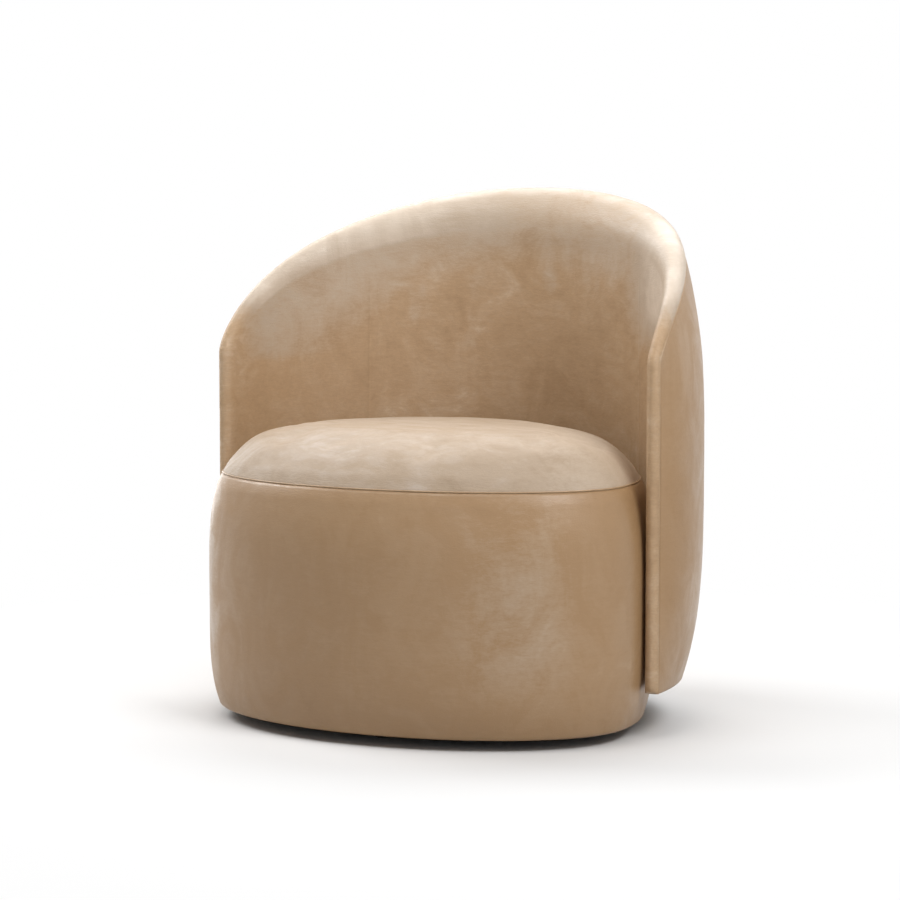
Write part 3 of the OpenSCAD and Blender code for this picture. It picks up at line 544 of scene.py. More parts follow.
def woven(name, dark, light, pitch):
    m = Nodes(name)
    weave = m.math("MAXIMUM", m.wave(pitch, 0.4, 1.0, "X"), m.wave(pitch, 0.4, 1.0, "Y"))
    fuzz = m.noise(300.0, 3.0, 0.6)
    return m.surface(
        Base_Color=m.ramp(m.weighted(weave, 0.6, fuzz, 0.4), [(0.2, dark), (0.8, light)]),
        Roughness=m.grey(fuzz, 0.3, 0.7, 0.8, 0.95),
        Sheen_Weight=0.2,
        Normal=m.bump(weave, 0.4, 0.0004),
    )


# One leather in four copies: the drum's is the plain tan; the paler inner back and piping copies
# are painted light, and the paler, greyer seat copy is painted sheen
LEATHER = leather("tan_leather", (1.04, 1.04, 1.0), contrast=0.7, fine=0.02, coat=(0.2, 0.3))
LEATHER_BACK_PAINTED_LIT = leather("tan_leather_back_painted_lit", (1.31, 1.42, 1.58), (12, 12, 11), panels=True,
                       contrast=1.35, fine=0.05, coat=(0.12, 0.42), dull=0.1)
LEATHER_SEAT_PAINTED_SHEEN = leather("tan_leather_seat_painted_sheen", (1.16, 1.43, 1.96), (9, 14, 14), coat=(0.22, 0.5),
                       dull=0.16)
LEATHER_SEAM_PAINTED_LIT = leather("tan_leather_seam_painted_lit", (1.24, 1.34, 1.48))
PLYWOOD = plywood("birch_plywood")
BOARD = painted_board("black_board")
STEEL = brushed("plate_steel", (0.5, 0.5, 0.52), (40, 600, 600))
BRIGHT = brushed("ball_steel", (0.62, 0.62, 0.64), (300, 300, 300))
NYLON = moulded("black_nylon")
CLOTH = woven("black_cloth", (0.012, 0.012, 0.013), (0.05, 0.05, 0.052), 220.0)
WEBBING = woven("black_webbing", (0.014, 0.014, 0.015), (0.065, 0.064, 0.062), 130.0)


# The camera, where the photograph's seams and outlines put it

CAMERA_AT, LOOK_AZ, LOOK_DOWN = (2.1306, -4.191, 0.842), 0.474, 0.091
FOCAL_PX, IMAGE_PX, SENSOR_MM = 3002.3, 900, 36.0
camera_data = bpy.data.cameras.new("camera")
camera_data.sensor_width = SENSOR_MM
camera_data.lens = FOCAL_PX / IMAGE_PX * SENSOR_MM
camera_data.clip_end = 60.0
camera = bpy.data.objects.new("camera", camera_data)
camera.location = CAMERA_AT
camera.rotation_euler = (math.pi / 2 - LOOK_DOWN, 0, LOOK_AZ)
bpy.context.scene.collection.objects.link(camera)
bpy.context.scene.camera = camera


# The drum's side and the seat

DRUM_COLS = 400
dense_u = np.radians(np.linspace(0, 360, 14401))
drum_us = even(dense_u, drum_xy(dense_u, 10))(DRUM_COLS + 1)[:-1]


def rings(profile):
    """Points of the drum's plan at each [draw-in, height] of a profile, ring after ring."""
    return np.concatenate(
        [np.column_stack([drum_xy(drum_us, d), np.full(DRUM_COLS, z)]) for d, z in profile]
    )


def seam_dip(distance, depth=0.3, reach=4.0, swell=0.7, swell_at=17.0):
    """How leather sinks at a seam and swells beside it, by the distance from the seam."""
    x = np.abs(distance)
    return -depth * np.exp(-((x / reach) ** 2)) + swell * np.exp(-(((x - swell_at) / 9.0) ** 2))


foot_zs = BOTTOM_Z + EDGE_R * (1 - np.cos(np.linspace(0, math.pi / 2, 9)))
top_z = SEAM_Z - 1.28
side_zs = np.concatenate([foot_zs, np.linspace(BOTTOM_Z + EDGE_R, top_z, 76)[1:]])
side_outer = [(d, BOTTOM_Z) for d in (40.0, 34.0, 28.0)]
side_outer += [(float(side_draw(z)), z) for z in side_zs]
side_inner = [
    (SEAM_DRAW + COVER, top_z - 0.4),
    (float(side_draw(FOAM_Z)) + COVER, FOAM_Z),
    (WRAP_IN - GAP, FOAM_Z - GAP),
    (WRAP_IN - GAP, 200.0),
    (WRAP_IN - GAP, SKIRT_Z + 2),
    (40.0, BOTTOM_Z + COVER),
]
side_points = rings(side_outer + side_inner)
side_rows = len(side_outer) + len(side_inner)
side_faces = grid_faces(side_rows, DRUM_COLS, closed=True) + [
    ((side_rows - 1) * DRUM_COLS + j, (side_rows - 1) * DRUM_COLS + (j + 1) % DRUM_COLS,
     (j + 1) % DRUM_COLS, j)
    for j in range(DRUM_COLS)
]
n_outer = len(side_outer) * DRUM_COLS
normals = vertex_normals(side_points, side_faces)
skin = side_points[:n_outer]
z = skin[:, 2]
free = smoothstep(BOTTOM_Z, BOTTOM_Z + 14, z)
amount = free * (
    0.55 * fbm(skin, 85, 3)
    + 0.18 * fbm(skin, (22, 22, 34), 5)
    + seam_dip(top_z - z)
)
side_points[:n_outer] += normals[:n_outer] * amount[:, None]
drum_side = add_mesh("drum_side_leather", side_points, side_faces, LEATHER, "seat")
set_attribute(
    drum_side,
    "pull",
    np.concatenate([
        np.clip(0.12 + 0.5 * smoothstep(30, 0, np.abs(top_z - z)), 0, 1),
        np.zeros(len(side_points) - n_outer),
    ]),
)
skin_u = np.tile(np.degrees(drum_us), len(side_outer))
# Painted highlights: a pale vertical sheen streak on the drum's front and a pale rim on its far
# left, fading towards the bottom
painted_sheen_streak = smoothstep(284, 313, skin_u) * smoothstep(344, 315, skin_u)
left_rim_highlight = smoothstep(170, 190, skin_u) * smoothstep(230, 198, skin_u)
rubbed_and_highlight = (0.28 * painted_sheen_streak + 0.45 * left_rim_highlight) * smoothstep(BOTTOM_Z + 10, BOTTOM_Z + 140, z)
rubbed_and_highlight = np.concatenate([rubbed_and_highlight, np.zeros(len(side_points) - n_outer)])
set_attribute(drum_side, "wear_and_highlight", rubbed_and_highlight)
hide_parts("drum_side_cover", "drum_side_padding")


def crown_z(q):
    return SEAM_Z + CROWN * (1 - (1 - q) ** 2.7)


# The crown: rings from the seam inwards, then even triangles over the middle
qs = np.concatenate([[0.007], 0.007 + 0.993 * np.linspace(0.02, 1.0, 38) ** 1.25])
crown_profile = [(SEAM_DRAW + REACH * q, float(crown_z(q))) for q in qs]
crown_rings = rings(crown_profile)
border = crown_rings[-DRUM_COLS:, :2]
step = 5.5
middle = np.array([0.0, SWIVEL_Y])
xs = np.arange(-240, 241, step)
ys = np.arange(-330, 230, step * math.sqrt(3) / 2)
hexes = np.array([(x + (step / 2 if r % 2 else 0), y) for r, y in enumerate(ys) for x in xs])


def plan_share(p):
    """How far from the middle points are, as a share of the crown's last ring."""
    angle = np.arctan2(p[:, 1] - middle[1], p[:, 0] - middle[0])
    ring_angle = np.arctan2(border[:, 1] - middle[1], border[:, 0] - middle[0])
    radius = np.linalg.norm(border - middle, axis=1)
    order = np.argsort(ring_angle)
    r = np.interp(angle, ring_angle[order], radius[order], period=2 * math.pi)
    return np.linalg.norm(p - middle, axis=1) / r


hexes = hexes[plan_share(hexes) < 0.975]
flat_points = np.concatenate([border, hexes])
cdt = delaunay_2d_cdt(
    [Vector(p) for p in flat_points],
    [(j, (j + 1) % DRUM_COLS) for j in range(DRUM_COLS)],
    [],
    1,
    1e-6,
)
flat = np.array([[v.x, v.y] for v in cdt[0]])
assert len(flat) == len(flat_points)
share = plan_share(flat[DRUM_COLS:])
middle_z = crown_profile[-1][1] + DOME * (1 - np.clip(share, 0, 1) ** 2)
start = (len(crown_profile) - 1) * DRUM_COLS
crown_points = np.concatenate([
    crown_rings,
    np.column_stack([flat[DRUM_COLS:], middle_z]),
])
crown_faces = grid_faces(len(crown_profile), DRUM_COLS, closed=True) + [
    tuple(start + v for v in f) for f in cdt[2]
]
n_crown = len(crown_points)
base_profile = [
    (SEAM_DRAW + SKIN, SEAM_Z - 1.0),
    (float(side_draw(FOAM_Z)) + SKIN, FOAM_Z),
    (80.0, FOAM_Z),
    (170.0, FOAM_Z),
]
under = rings(base_profile)
seat_points = np.concatenate([crown_points, under, [[0, SWIVEL_Y, FOAM_Z]]])
first_under = list(range(n_crown, n_crown + DRUM_COLS))
seat_faces = crown_faces + loop_faces(first_under, list(range(DRUM_COLS)))
seat_faces += flipped(grid_faces(len(base_profile), DRUM_COLS, n_crown, closed=True))
last = n_crown + (len(base_profile) - 1) * DRUM_COLS
tip = len(seat_points) - 1
seat_faces += [(last + (j + 1) % DRUM_COLS, last + j, tip) for j in range(DRUM_COLS)]
normals = vertex_normals(crown_points, crown_faces)
q_of = np.concatenate([np.repeat(qs, DRUM_COLS), np.ones(n_crown - len(crown_rings))])
from_seam = REACH * q_of * 1.4
amount = (
    seam_dip(from_seam, depth=0.25, swell=0.7)
    + smoothstep(2, 26, from_seam)
    * (0.75 * fbm(crown_points, 95, 11) + 0.22 * fbm(crown_points, 26, 12))
)
seat_points[:n_crown] += normals * amount[:, None]
# The crown as cloth under pressure, pinned at the seam
form_cols = np.arange(0, DRUM_COLS, 4)
form_rows = list(range(0, len(qs), 4))
form_rings = [crown_rings.reshape(len(qs), DRUM_COLS, 3)[r][form_cols] for r in form_rows]
edge_ring, centre = form_rings[-1], np.array([*middle, crown_profile[-1][1] + DOME])
for t in np.linspace(0.1, 0.9, 9):
    ring = mix(edge_ring, centre, t)
    ring[:, 2] = crown_profile[-1][1] + DOME * (1 - (1 - t) ** 2)
    form_rings.append(ring)
form = np.concatenate(form_rings + [[centre]])
n_form = len(form_cols)
form_faces = grid_faces(len(form_rings), n_form, closed=True)
first, tip = (len(form_rings) - 1) * n_form, len(form) - 1
form_faces += [(first + j, first + (j + 1) % n_form, tip) for j in range(n_form)]
moves = inflated(form, form_faces, range(n_form), SEAT_PRESSURE, SEAT_STIFF)
moves = carried(form, moves, crown_points, SEAT_CAP) * smoothstep(0, 22, from_seam)[:, None]
moves[:, 2] -= moves[:, 2].mean()
seat_points[:n_crown] += moves
seat_cushion = add_mesh("seat_cushion_leather", seat_points, seat_faces, LEATHER_SEAT_PAINTED_SHEEN, "seat")
set_attribute(
    seat_cushion,
    "pull",
    np.concatenate([np.clip(0.1 + 0.6 * smoothstep(40, 0, from_seam), 0, 1),
                    np.zeros(len(seat_points) - n_crown)]),
)
# Painted light: the crown is paler towards its right front end, lifting the shade that the right
# arm casts there
towards_right = 0.89 * seat_points[:, 0] + 0.456 * seat_points[:, 1]
set_attribute(seat_cushion, "wear_and_highlight", 0.75 * smoothstep(70, 210, towards_right))
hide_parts("seat_top_cover", "seat_foam")


def tube(name, centres, sides, radius, material, closed):
    """A cord of leather along centres, with its two side directions at each."""
    points, faces = [], []
    n, k = len(centres), 12
    angles = np.arange(k) * 2 * math.pi / k
    for c, (a, b) in zip(centres, sides):
        points.append(c + radius * (np.cos(angles)[:, None] * a + np.sin(angles)[:, None] * b))
    points = np.concatenate(points)
    for i in range(n if closed else n - 1):
        for j in range(k):
            a, b = i * k + j, i * k + (j + 1) % k
            c, d = (i + 1) % n * k + j, (i + 1) % n * k + (j + 1) % k
            faces.append((a, b, d, c))
    if not closed:
        faces.append(tuple(range(k)))
        faces.append(tuple(reversed(range((n - 1) * k, n * k))))
    obj = add_mesh(name, points, faces, material, "seat")
    set_attribute(obj, "pull", np.full(len(points), 0.4))
    return obj


welt_us = even(dense_u, drum_xy(dense_u, SEAM_DRAW))(721)[:-1]
welt_xy = drum_xy(welt_us, SEAM_DRAW + PIPING_R - PIPING_PROUD)
tangent = np.roll(welt_xy, -1, 0) - np.roll(welt_xy, 1, 0)
outwards = unit(np.column_stack([tangent[:, 1], -tangent[:, 0]]))
waver = 0.08 * fbm(np.column_stack([welt_xy, np.zeros(len(welt_xy))]), 30, 21)
welt_points = np.column_stack([welt_xy + outwards * waver[:, None], SEAM_Z + 0.3 * waver])
seat_piping = tube(
    "seat_piping",
    welt_points,
    [(np.array([*side, 0]), np.array([0, 0, 1.0])) for side in outwards],
    PIPING_R,
    LEATHER_SEAM_PAINTED_LIT,
    True,
)
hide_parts("seat_welt")


# The back shell

FRONT_ROWS, TOP_COLS, ROLL_STEPS = 100, 280, 34
half_u = np.radians(np.linspace(0, 180, 18001))
seam_line = np.column_stack([edge_xy(half_u), edge_z(half_u)])
top_us = even(half_u, seam_line)(TOP_COLS + 1)
# Rough radii of the shell's edge and face, which turn its angles into lengths
EDGE_RADIUS, FACE_RADIUS = 410.0, 400.0
# The panel seams of the inner back take columns of their own
PANEL_SEAMS = [math.radians(134.0), math.radians(46.0)]
for seam in PANEL_SEAMS:
    at = int(np.argmin(np.abs(top_us - seam)))
    for k, shift in zip(range(at - 2, at + 3), (-5.2, -1.6, 0.0, 1.6, 5.2)):
        top_us[k] = seam + shift / EDGE_RADIUS
outline_us = np.concatenate([np.zeros(FRONT_ROWS), top_us, np.full(FRONT_ROWS, math.pi)])
rise = np.arange(FRONT_ROWS) / FRONT_ROWS
outline_n = len(outline_us)


def outline_z(low):
    front = mix(low, ARM_TOP, rise)
    return np.concatenate([front, edge_z(top_us), front[::-1]])


outline = np.column_stack([edge_xy(outline_us), outline_z(SHELL_Z)])
out_n = np.column_stack([edge_normal(outline_us), np.zeros(outline_n)])
run = np.zeros_like(outline)
reach = 2
for k in range(outline_n):
    run[k] = outline[min(k + reach, outline_n - 1)] - outline[max(k - reach, 0)]
roll_dirs = unit(np.cross(out_n, unit(run)))


def sheet_in(kind, u):
    if kind == "leather":
        return np.zeros_like(u), np.zeros_like(u), np.zeros_like(u)
    return (
        np.full_like(u, SKIN + 1),
        SKIN + foam_depth(u),
        SKIN + mix(FRONT_FOAM, TOP_FOAM, sinu(u)),
    )


def roll_points(kind, low):
    """Points of the roll over the outline, from the inner face to the outer seam."""
    u = outline_us
    d0, d1, d2 = sheet_in(kind, u)
    lean = ROLL_LEAN - (WING_LEAN * wing_share(u) if kind == "leather" else 0)
    n = edge_normal(u)
    p = edge_xy(u) - d0[:, None] * n
    q = inner_xy(u) + d1[:, None] * n
    h = roll_h(u) - d2
    zs = outline_z(low)
    foot = 1.0
    if kind == "leather":
        up = np.clip((zs - low) / ARM_FOOT, 0, 1)
        foot = mix(0.3, 1.0, np.sqrt(1 - (1 - up) ** 2))
    start = np.arcsin(PIPING_ROOM / roll_h(u))
    rows = []
    for l in range(ROLL_STEPS + 1):
        a = mix(math.pi, start, l / ROLL_STEPS)
        low_half = a <= math.pi / 2
        f = np.where(
            low_half,
            lean * (1 - np.cos(a)),
            lean - (1 - lean) * np.cos(a),
        )
        # The inner half leaves the face more softly than an ellipse does
        inner_rise = 1 - np.sin(a) ** ROLL_SOFT
        g = np.where(low_half, h * np.sin(a), h - (h + shoulder(u)) * inner_rise)
        g = np.where((outline_us == 0) | (outline_us == math.pi), g * foot, g)
        rows.append(np.column_stack([mix(p, q, f[:, None]), zs]) + g[:, None] * roll_dirs)
    return rows


def inner_points(kind, low):
    rows = roll_points(kind, low)
    top = rows[0][FRONT_ROWS:FRONT_ROWS + TOP_COLS + 1]
    w = math.pi / 2 + (top_us - math.pi / 2) * (
        math.pi / 2 - math.asin(ARM_SHOULDER / INNER_B)
    ) / (math.pi / 2)
    foot = np.column_stack([
        inner_xy(w) + sheet_in(kind, top_us)[1][:, None] * edge_normal(w),
        np.full(TOP_COLS + 1, low),
    ])
    t = np.arange(FRONT_ROWS + 1) / FRONT_ROWS
    face = foot[:, None, :] + (top - foot)[:, None, :] * t[None, :, None]
    strip = np.stack(rows[1:], 1)
    return np.concatenate([face.reshape(-1, 3), strip.reshape(-1, 3)])


def inner_at(k, l):
    if l > 0:
        return (TOP_COLS + 1) * (FRONT_ROWS + 1) + k * ROLL_STEPS + l - 1
    if k < FRONT_ROWS:
        return k
    if k <= FRONT_ROWS + TOP_COLS:
        return (k - FRONT_ROWS) * (FRONT_ROWS + 1) + FRONT_ROWS
    return TOP_COLS * (FRONT_ROWS + 1) + outline_n - 1 - k


inner_faces = flipped(grid_faces(TOP_COLS + 1, FRONT_ROWS + 1))
for k in range(outline_n - 1):
    for l in range(ROLL_STEPS):
        inner_faces.append(
            (inner_at(k, l), inner_at(k + 1, l), inner_at(k + 1, l + 1), inner_at(k, l + 1))
        )
inner_rim = (
    [i * (FRONT_ROWS + 1) for i in range(TOP_COLS + 1)]
    + [inner_at(outline_n - 1, l) for l in range(1, ROLL_STEPS + 1)]
    + [inner_at(k, ROLL_STEPS) for k in range(outline_n - 2, -1, -1)]
    + [inner_at(0, l) for l in range(ROLL_STEPS - 1, 0, -1)]
)
face_skin = inner_points("leather", SHELL_Z)
foam_back = inner_points("foam back", SHELL_Z + SKIN)
n_face = len(face_skin)
normals = vertex_normals(face_skin, inner_faces)
# Where each point lies: its column's angle, its step over the roll, and its distances from
# the two panel seams and from the piping
col_u = np.concatenate([
    np.repeat(top_us, FRONT_ROWS + 1),
    np.repeat(outline_us, ROLL_STEPS),
])
steps = np.concatenate([
    np.zeros((TOP_COLS + 1) * (FRONT_ROWS + 1)),
    np.tile(np.arange(1, ROLL_STEPS + 1), outline_n),
])
roll_share = steps / ROLL_STEPS
seam_gap = np.min([np.abs(col_u - s) for s in PANEL_SEAMS], axis=0) * FACE_RADIUS
welt_gap = np.where(steps > 0, (ROLL_STEPS - steps) * 1.2, 99.0)
height = face_skin[:, 2]
pulled = np.clip(
    smoothstep(0.0, 0.25, roll_share) * smoothstep(1.0, 0.8, roll_share)
    + 0.8 * smoothstep(150, 20, edge_z(col_u) - height) * (steps == 0),
    0, 1,
)
arms = smoothstep(0.75, 0.35, np.sin(col_u))
low_free = smoothstep(SHELL_Z, SHELL_Z + 10, height)
below_edge = edge_z(col_u) - height
seam_share = (steps == 0) * smoothstep(60, 150, below_edge)
amount = low_free * (
    0.8 * fbm(face_skin, 95, 31) * smoothstep(0, 22, wall_t(col_u) - 10)
    + 0.2 * fbm(face_skin, (24, 24, 24), 32)
    + 0.22 * pulled * (0.4 + 0.6 * arms) * fbm(face_skin, (12, 12, 12), 33)
    - 0.6 * seam_share * np.exp(-((seam_gap / 1.5) ** 2))
    + 0.3 * seam_share * np.exp(-(((seam_gap - 9) / 8) ** 2))
    - 0.15 * np.exp(-((welt_gap / 2.0) ** 2))
)
face_skin = face_skin + normals * amount[:, None]
# The face of the back as cloth under pressure, pinned at its foot and along the roll
panel = face_skin[:(TOP_COLS + 1) * (FRONT_ROWS + 1)].reshape(TOP_COLS + 1, FRONT_ROWS + 1, 3)
form = panel[::4, ::4]
rows_u, rows_t = form.shape[:2]
form = form.reshape(-1, 3)
number = np.arange(len(form))
line, level = number // rows_t, number % rows_t
rim = number[(line == 0) | (line == rows_u - 1) | (level == 0) | (level == rows_t - 1)]
moves = inflated(form, flipped(grid_faces(rows_u, rows_t)), rim, BACK_PRESSURE, BACK_STIFF)
n_panel = panel.shape[0] * panel.shape[1]
face_skin[:n_panel] += carried(form, moves, face_skin[:n_panel], BACK_CAP)
inner_all = np.concatenate([face_skin, foam_back])
inner_solid = (
    inner_faces
    + flipped(inner_faces, n_face)
    + loop_faces(inner_rim, [v + n_face for v in inner_rim])
)
inner_back = add_mesh("inner_back_leather", inner_all, inner_solid, LEATHER_BACK_PAINTED_LIT, "seat")
set_attribute(
    inner_back,
    "pull",
    np.concatenate([np.clip(0.1 + 0.9 * pulled * (0.35 + 0.65 * arms), 0, 1), np.zeros(n_face)]),
)
# Painted highlights on the roll, the top of the face and the two wings, and a few pale patches of
# rubbed leather
to_right = np.cos(col_u)
roll_highlight = 0.85 + 0.15 * smoothstep(0.02, 0.3, roll_share) * smoothstep(1.0, 0.9, roll_share)
roll_highlight += 0.45 * smoothstep(0.15, 0.6, -to_right) + 0.5 * smoothstep(0.6, 0.8, to_right)
roll_highlight -= 0.2 * smoothstep(0.05, 0.3, to_right) * smoothstep(0.7, 0.5, to_right)
left_wing = smoothstep(0.45, 0.85, -to_right)
face_highlight = 0.86 * smoothstep(165 + 95 * left_wing, 40 * left_wing, below_edge)
right_wing_highlight = smoothstep(0.9, 0.56, np.sin(col_u)) * (to_right > 0)
right_wing_highlight *= 1.7 * smoothstep(ARM_TOP - 30, ARM_TOP + 90, height)
face_highlight = np.maximum(face_highlight, right_wing_highlight)
patches = 0.34 * smoothstep(0.0, 0.45, fbm(face_skin, (46, 46, 90), 61))
patches *= smoothstep(70, 130, below_edge)
wear_and_highlight = np.where(steps == 0, np.maximum(face_highlight, patches), roll_highlight)
wear_and_highlight *= smoothstep(0.02, 0.25, np.sin(col_u)) * smoothstep(10, 40, height - ARM_TOP + 40)
set_attribute(inner_back, "wear_and_highlight", np.concatenate([wear_and_highlight, np.zeros(n_face)]))
# The side panels are a little darker than the one between the seams
beyond = np.abs(col_u - math.pi / 2) - abs(PANEL_SEAMS[0] - math.pi / 2)
side_panels = 0.32 * smoothstep(0.0, 0.006, beyond) * seam_share
set_attribute(inner_back, "panel", np.concatenate([side_panels, np.zeros(n_face)]))
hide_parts("inner_back_cover", "inner_back_foam")

# The outer back: a puffed panel from its turned-in lower edge up to the seam
BACK_ROWS = 110
first = math.asin(PIPING_ROOM / EDGE_B)
between = top_us[(top_us > first + 0.004) & (top_us < math.pi - first - 0.004)]
back_us = np.concatenate([[first], between, [math.pi - first]])
half_degree = math.radians(0.5)
lo, hi = np.maximum(0, back_us - half_degree), np.minimum(math.pi, back_us + half_degree)
rise_n = edge_z(hi) - edge_z(lo)
run_n = np.linalg.norm(edge_xy(hi) - edge_xy(lo), axis=1)
dir_z = run_n / np.hypot(run_n, rise_n)
back_high = edge_z(back_us) - PIPING_ROOM / dir_z


def outer_sheet(d):
    n = edge_normal(back_us)
    low = SHELL_Z + d
    t = 0.5 - 0.5 * np.cos(math.pi * np.linspace(0, 1, BACK_ROWS + 1))
    t = 0.35 * t + 0.65 * np.linspace(0, 1, BACK_ROWS + 1)
    zs = low + (back_high - low)[:, None] * t[None, :]
    us = np.repeat(back_us[:, None], BACK_ROWS + 1, 1)
    xy = edge_xy(back_us)[:, None, :] + (puff(us, zs) - d)[..., None] * n[:, None, :]
    body = np.concatenate([xy, zs[..., None]], -1)
    lip = np.column_stack([edge_xy(back_us) - SHELL_LIP * n, np.full(len(back_us), low)])
    return np.concatenate([lip[:, None, :], body], 1)


back_m = BACK_ROWS + 2
outer_skin = outer_sheet(0.0).reshape(-1, 3)
pad_back = outer_sheet(SKIN + OUTER_PAD).reshape(-1, 3)
outer_faces = grid_faces(len(back_us), back_m)
outer_n = len(outer_skin)
normals = vertex_normals(outer_skin, outer_faces)
col = np.repeat(back_us, back_m)
to_top = np.repeat(back_high, back_m) - outer_skin[:, 2]
side_gap = np.minimum(col - first, math.pi - first - col) * EDGE_B
edge_gap = np.minimum(to_top, side_gap)
amount = smoothstep(0, 8, outer_skin[:, 2] - SHELL_Z) * (
    smoothstep(2, 30, edge_gap) * (0.8 * fbm(outer_skin, 110, 41) + 0.2 * fbm(outer_skin, 28, 42))
    - 0.2 * np.exp(-((edge_gap / 3.0) ** 2))
)
outer_skin = outer_skin + normals * amount[:, None]
outer_rim = grid_rim(len(back_us), back_m)
outer_all = np.concatenate([outer_skin, pad_back])
outer_solid = (
    outer_faces
    + flipped(outer_faces, outer_n)
    + loop_faces([v + outer_n for v in outer_rim], outer_rim)
)
outer_back = add_mesh("outer_back_leather", outer_all, outer_solid, LEATHER, "seat")
set_attribute(
    outer_back,
    "pull",
    np.concatenate([np.clip(0.1 + 0.5 * smoothstep(40, 0, edge_gap), 0, 1), np.zeros(outer_n)]),
)
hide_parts("outer_back_cover", "outer_back_padding")

cord = outline + (PIPING_PROUD - PIPING_R) * out_n
back_piping = tube(
    "back_piping",
    cord,
    list(zip(out_n, roll_dirs)),
    PIPING_R,
    LEATHER_SEAM_PAINTED_LIT,
    False,
)
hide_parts("back_welt")


# Cloths and straps


def fluttered(points, size, seed):
    """Noise over a flat [x, y] plan."""
    return value_noise(np.column_stack([points, np.zeros(len(points))]), size, seed)


# Under the drum: a ring from its lip to the base disc
cloth_cols = 160
cloth_us = even(dense_u, drum_xy(dense_u, 40))(cloth_cols + 1)[:-1]
outer_line = drum_xy(cloth_us, BOTTOM_DRAW + DRUM_LIP + GAP)
angles = np.arctan2(outer_line[:, 1] - SWIVEL_Y, outer_line[:, 0])
hole_r = BASE_R + 8
hole = np.column_stack([hole_r * np.cos(angles), SWIVEL_Y + hole_r * np.sin(angles)])
rows = 14
ts = np.linspace(0, 1, rows)
plan = np.concatenate([mix(outer_line, hole, t) for t in ts])
sag = 0.35 * np.sin(math.pi * np.repeat(ts, cloth_cols)) * (1 + fluttered(plan, 40, 51))
cloth = np.column_stack([plan, SKIRT_Z - 0.02 - sag])
faces = flipped(grid_faces(rows, cloth_cols, closed=True))
below = len(cloth)
low = cloth - np.array([0, 0, CLOTH_T])
last = (rows - 1) * cloth_cols
ring_solid = (
    faces
    + flipped(faces, below)
    + loop_faces(range(cloth_cols), range(below, below + cloth_cols))
    + loop_faces(range(below + last, below + last + cloth_cols), range(last, last + cloth_cols))
)
drum_cloth = add_mesh(
    "drum_dust_cloth", np.concatenate([cloth, low]), ring_solid, CLOTH, "seat"
)
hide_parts("dust_cover")

# Under the shell: a crescent
outer_line = edge_xy(back_us) - (SHELL_LIP + GAP) * edge_normal(back_us)
outer_line = outer_line[outer_line[:, 1] > ARM_Y + SHELL_LIP]
n_cols = len(outer_line)
inner_line = inner_xy(np.linspace(first * 4, math.pi - first * 4, n_cols))
inner_line = inner_line + SKIN * unit(inner_line - np.array([0, ARM_Y]))
rows = 12
ts = np.linspace(0, 1, rows)
plan = np.concatenate([mix(outer_line, inner_line, t) for t in ts])
bow = 0.25 * np.repeat(np.sin(math.pi * ts), n_cols) * fluttered(plan, 60, 52)
crescent = np.column_stack([plan, SHELL_Z + GAP + CLOTH_T + bow])
low = crescent - np.array([0, 0, CLOTH_T])
faces = flipped(grid_faces(rows, n_cols))
n = len(crescent)
rim = grid_rim(rows, n_cols)[::-1]
crescent_solid = faces + flipped(faces, n) + loop_faces([v + n for v in rim], rim)
shell_cloth = add_mesh(
    "shell_dust_cloth", np.concatenate([crescent, low]), crescent_solid, CLOTH, "seat",
)
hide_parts("dust_cover")

# Over the springs
deck_line = drum_xy(cloth_us, DECK_IN)
rows = 22
ts = np.linspace(0, 1, rows)[:-1]
plan = np.concatenate([mix(deck_line, middle, t) for t in ts] + [[middle]])
share = np.concatenate([np.repeat(ts, cloth_cols), [1.0]])
deck_top = np.column_stack([
    plan,
    DECK_Z - 0.1 - 0.5 * share * (1 + fluttered(plan, (44, 90, 44), 53)) * 0.4,
])
faces = flipped(grid_faces(rows - 1, cloth_cols, closed=True))
n = len(deck_top)
last = (rows - 2) * cloth_cols
faces += [(last + (j + 1) % cloth_cols, last + j, n - 1) for j in range(cloth_cols)]
deck_low = deck_top - np.array([0, 0, DECK_T - 0.2])
deck_solid = faces + flipped(faces, n) + loop_faces(range(cloth_cols), range(n, n + cloth_cols))
deck = add_mesh(
    "spring_deck_cloth", np.concatenate([deck_top, deck_low]), deck_solid, CLOTH, "seat",
)
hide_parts("deck_cloth")

# Three straps behind the foam of the back
ws = np.linspace(-STRAP_W / 2, STRAP_W / 2, 9)
zs = np.linspace(RIB_Z, STRAP_TOP, 90)
faces = grid_faces(len(zs), len(ws))
rim = grid_rim(len(zs), len(ws))
for number, degrees in enumerate((66, 90, 114), 1):
    u = np.array([math.radians(degrees)])
    n = edge_normal(u)[0]
    p = inner_xy(u)[0] + float(SKIN + foam_depth(u)[0] + GAP) * n
    side = np.array([-n[1], n[0]])
    front = np.array([
        [*(p + side * w + n * (0.3 + 0.12 * math.sin(z * 0.35) * math.cos(w * 0.2))), z]
        for z in zs
        for w in ws
    ])
    behind = front + np.array([*(n * (STRAP_T - 0.5)), 0])
    count = len(front)
    solid = (
        flipped(faces)
        + [tuple(v + count for v in f) for f in faces]
        + loop_faces(rim, [v + count for v in rim])
    )
    strap = add_mesh(
        f"back_strap_{number}", np.concatenate([front, behind]), solid, WEBBING, "seat",
    )
    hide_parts("back_webbing")

# Every piece's faces point outwards
for obj in bpy.context.scene.objects:
    if obj.type == "MESH" and "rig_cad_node" not in obj:
        bm = bmesh.new()
        bm.from_mesh(obj.data)
        bmesh.ops.recalc_face_normals(bm, faces=bm.faces)
        bm.to_mesh(obj.data)
        bm.free()

# Materials of the CAD's own nodes

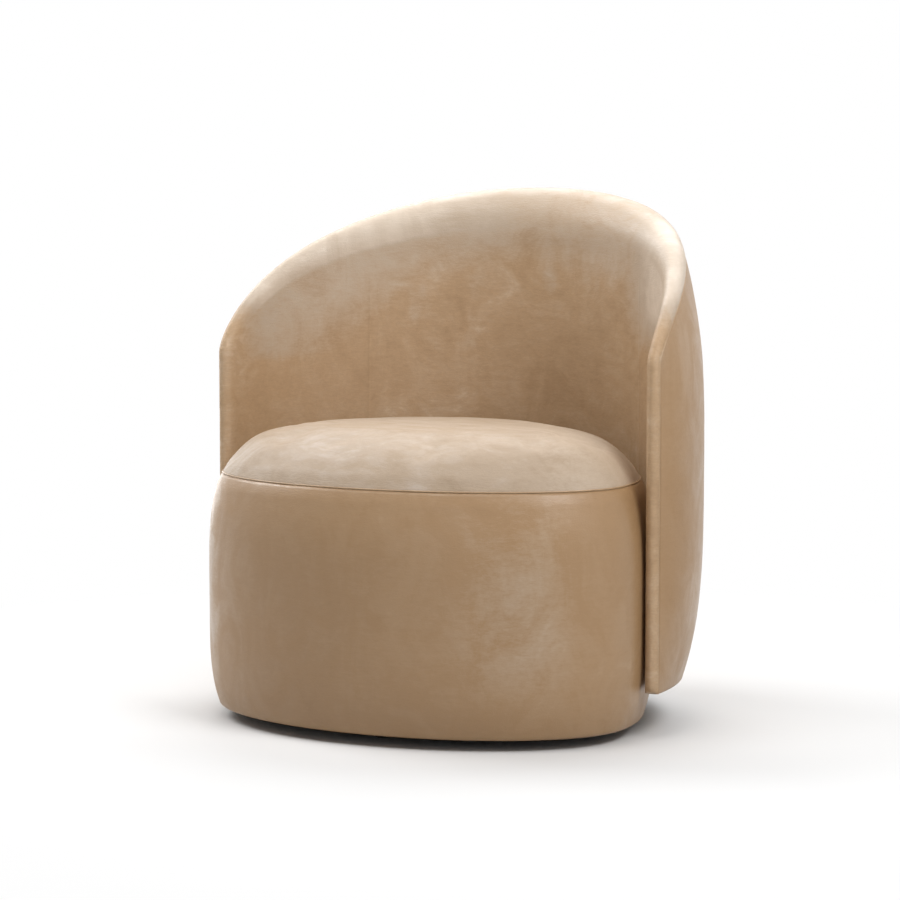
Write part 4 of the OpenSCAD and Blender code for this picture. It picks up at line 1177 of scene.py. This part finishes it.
CAD_MATERIALS = {
    "floor_glides": NYLON,
    "base_disc": BOARD,
    "swivel_lower_plate": STEEL,
    "lower_plate_screws": BRIGHT,
    "swivel_pin": BRIGHT,
    "ball_retainer": STEEL,
    "swivel_balls": BRIGHT,
    "swivel_upper_plate": STEEL,
    "upper_plate_bolts": BRIGHT,
    "upper_plate_nuts": BRIGHT,
    "seat_springs": STEEL,
    "spring_clips": STEEL,
    "shell_bolts": BRIGHT,
    "shell_inserts": BRIGHT,
}
for name, obj in frame["nodes"].items():
    if obj.hide_render:
        continue
    material = CAD_MATERIALS.get(name, PLYWOOD)
    if not obj.material_slots:
        obj.data.materials.append(material)
    for s in obj.material_slots:
        s.material = material

# Floor, world and lamps

FLOOR_HALF = 40000.0
WHITE = (1, 1, 1, 1)
corners = [(-1, -1, 0), (1, -1, 0), (1, 1, 0), (-1, 1, 0)]
floor = new_object("floor", FLOOR_HALF * np.array(corners), [(0, 1, 2, 3)])
m = Nodes("studio_floor")
# The floor that is seen keeps the chair's shadow nearby and turns white further off
distance = m.add("ShaderNodeVectorMath", {0: m.coord}, operation="LENGTH").outputs["Value"]
glow = m.add("ShaderNodeEmission", {"Color": WHITE, "Strength": 1.0}).outputs[0]
pale = m.add("ShaderNodeBsdfDiffuse", {"Color": (0.79, 0.79, 0.79, 1)}).outputs[0]
lighting = m.add("ShaderNodeBsdfDiffuse", {"Color": (0.7, 0.7, 0.7, 1)}).outputs[0]
shown = m.blended(m.grey(distance, 0.48, 1.45), pale, glow)
floor.data.materials.append(m.finished(m.blended(m.seen(), lighting, shown)))

m = Nodes("studio", bpy.data.worlds, "ShaderNodeOutputWorld")
ambient = m.add("ShaderNodeBackground", {"Color": WHITE, "Strength": 0.1}).outputs[0]
backdrop = m.add("ShaderNodeBackground", {"Color": WHITE, "Strength": 1.0}).outputs[0]
bpy.context.scene.world = m.finished(m.blended(m.seen(), ambient, backdrop))


def lamp(name, place, aim, size, power):
    data = bpy.data.lights.new(name, "AREA")
    data.shape = "RECTANGLE"
    data.size, data.size_y = size
    data.energy = power
    obj = bpy.data.objects.new(name, data)
    obj.location = place
    obj.rotation_euler = (Vector(aim) - Vector(place)).to_track_quat("-Z", "Y").to_euler()
    bpy.context.scene.collection.objects.link(obj)


lamp("over_front", (0.0, -0.8, 2.4), (0, 0, 0.5), (1.6, 1.2), 19)
lamp("back_top", (-0.3, 2.0, 2.9), (0, 0, 0.6), (3.4, 2.2), 78)
lamp("left_back", (-2.3, 1.9, 0.6), (0, 0, 0.35), (2.0, 1.1), 16)
lamp("left_top", (-2.6, 0.0, 2.4), (0, 0, 0.5), (1.6, 1.6), 62)
lamp("right_side", (2.9, -0.6, 1.3), (0, 0, 0.4), (1.4, 1.8), 7)
lamp("right_top", (2.2, -0.9, 2.4), (0, 0.1, 0.6), (1.4, 1.2), 50)
lamp("front_low", (0.6, -3.8, 1.2), (0, 0, 0.4), (2.4, 1.6), 12)

bpy.context.scene.view_settings.view_transform = "Standard"
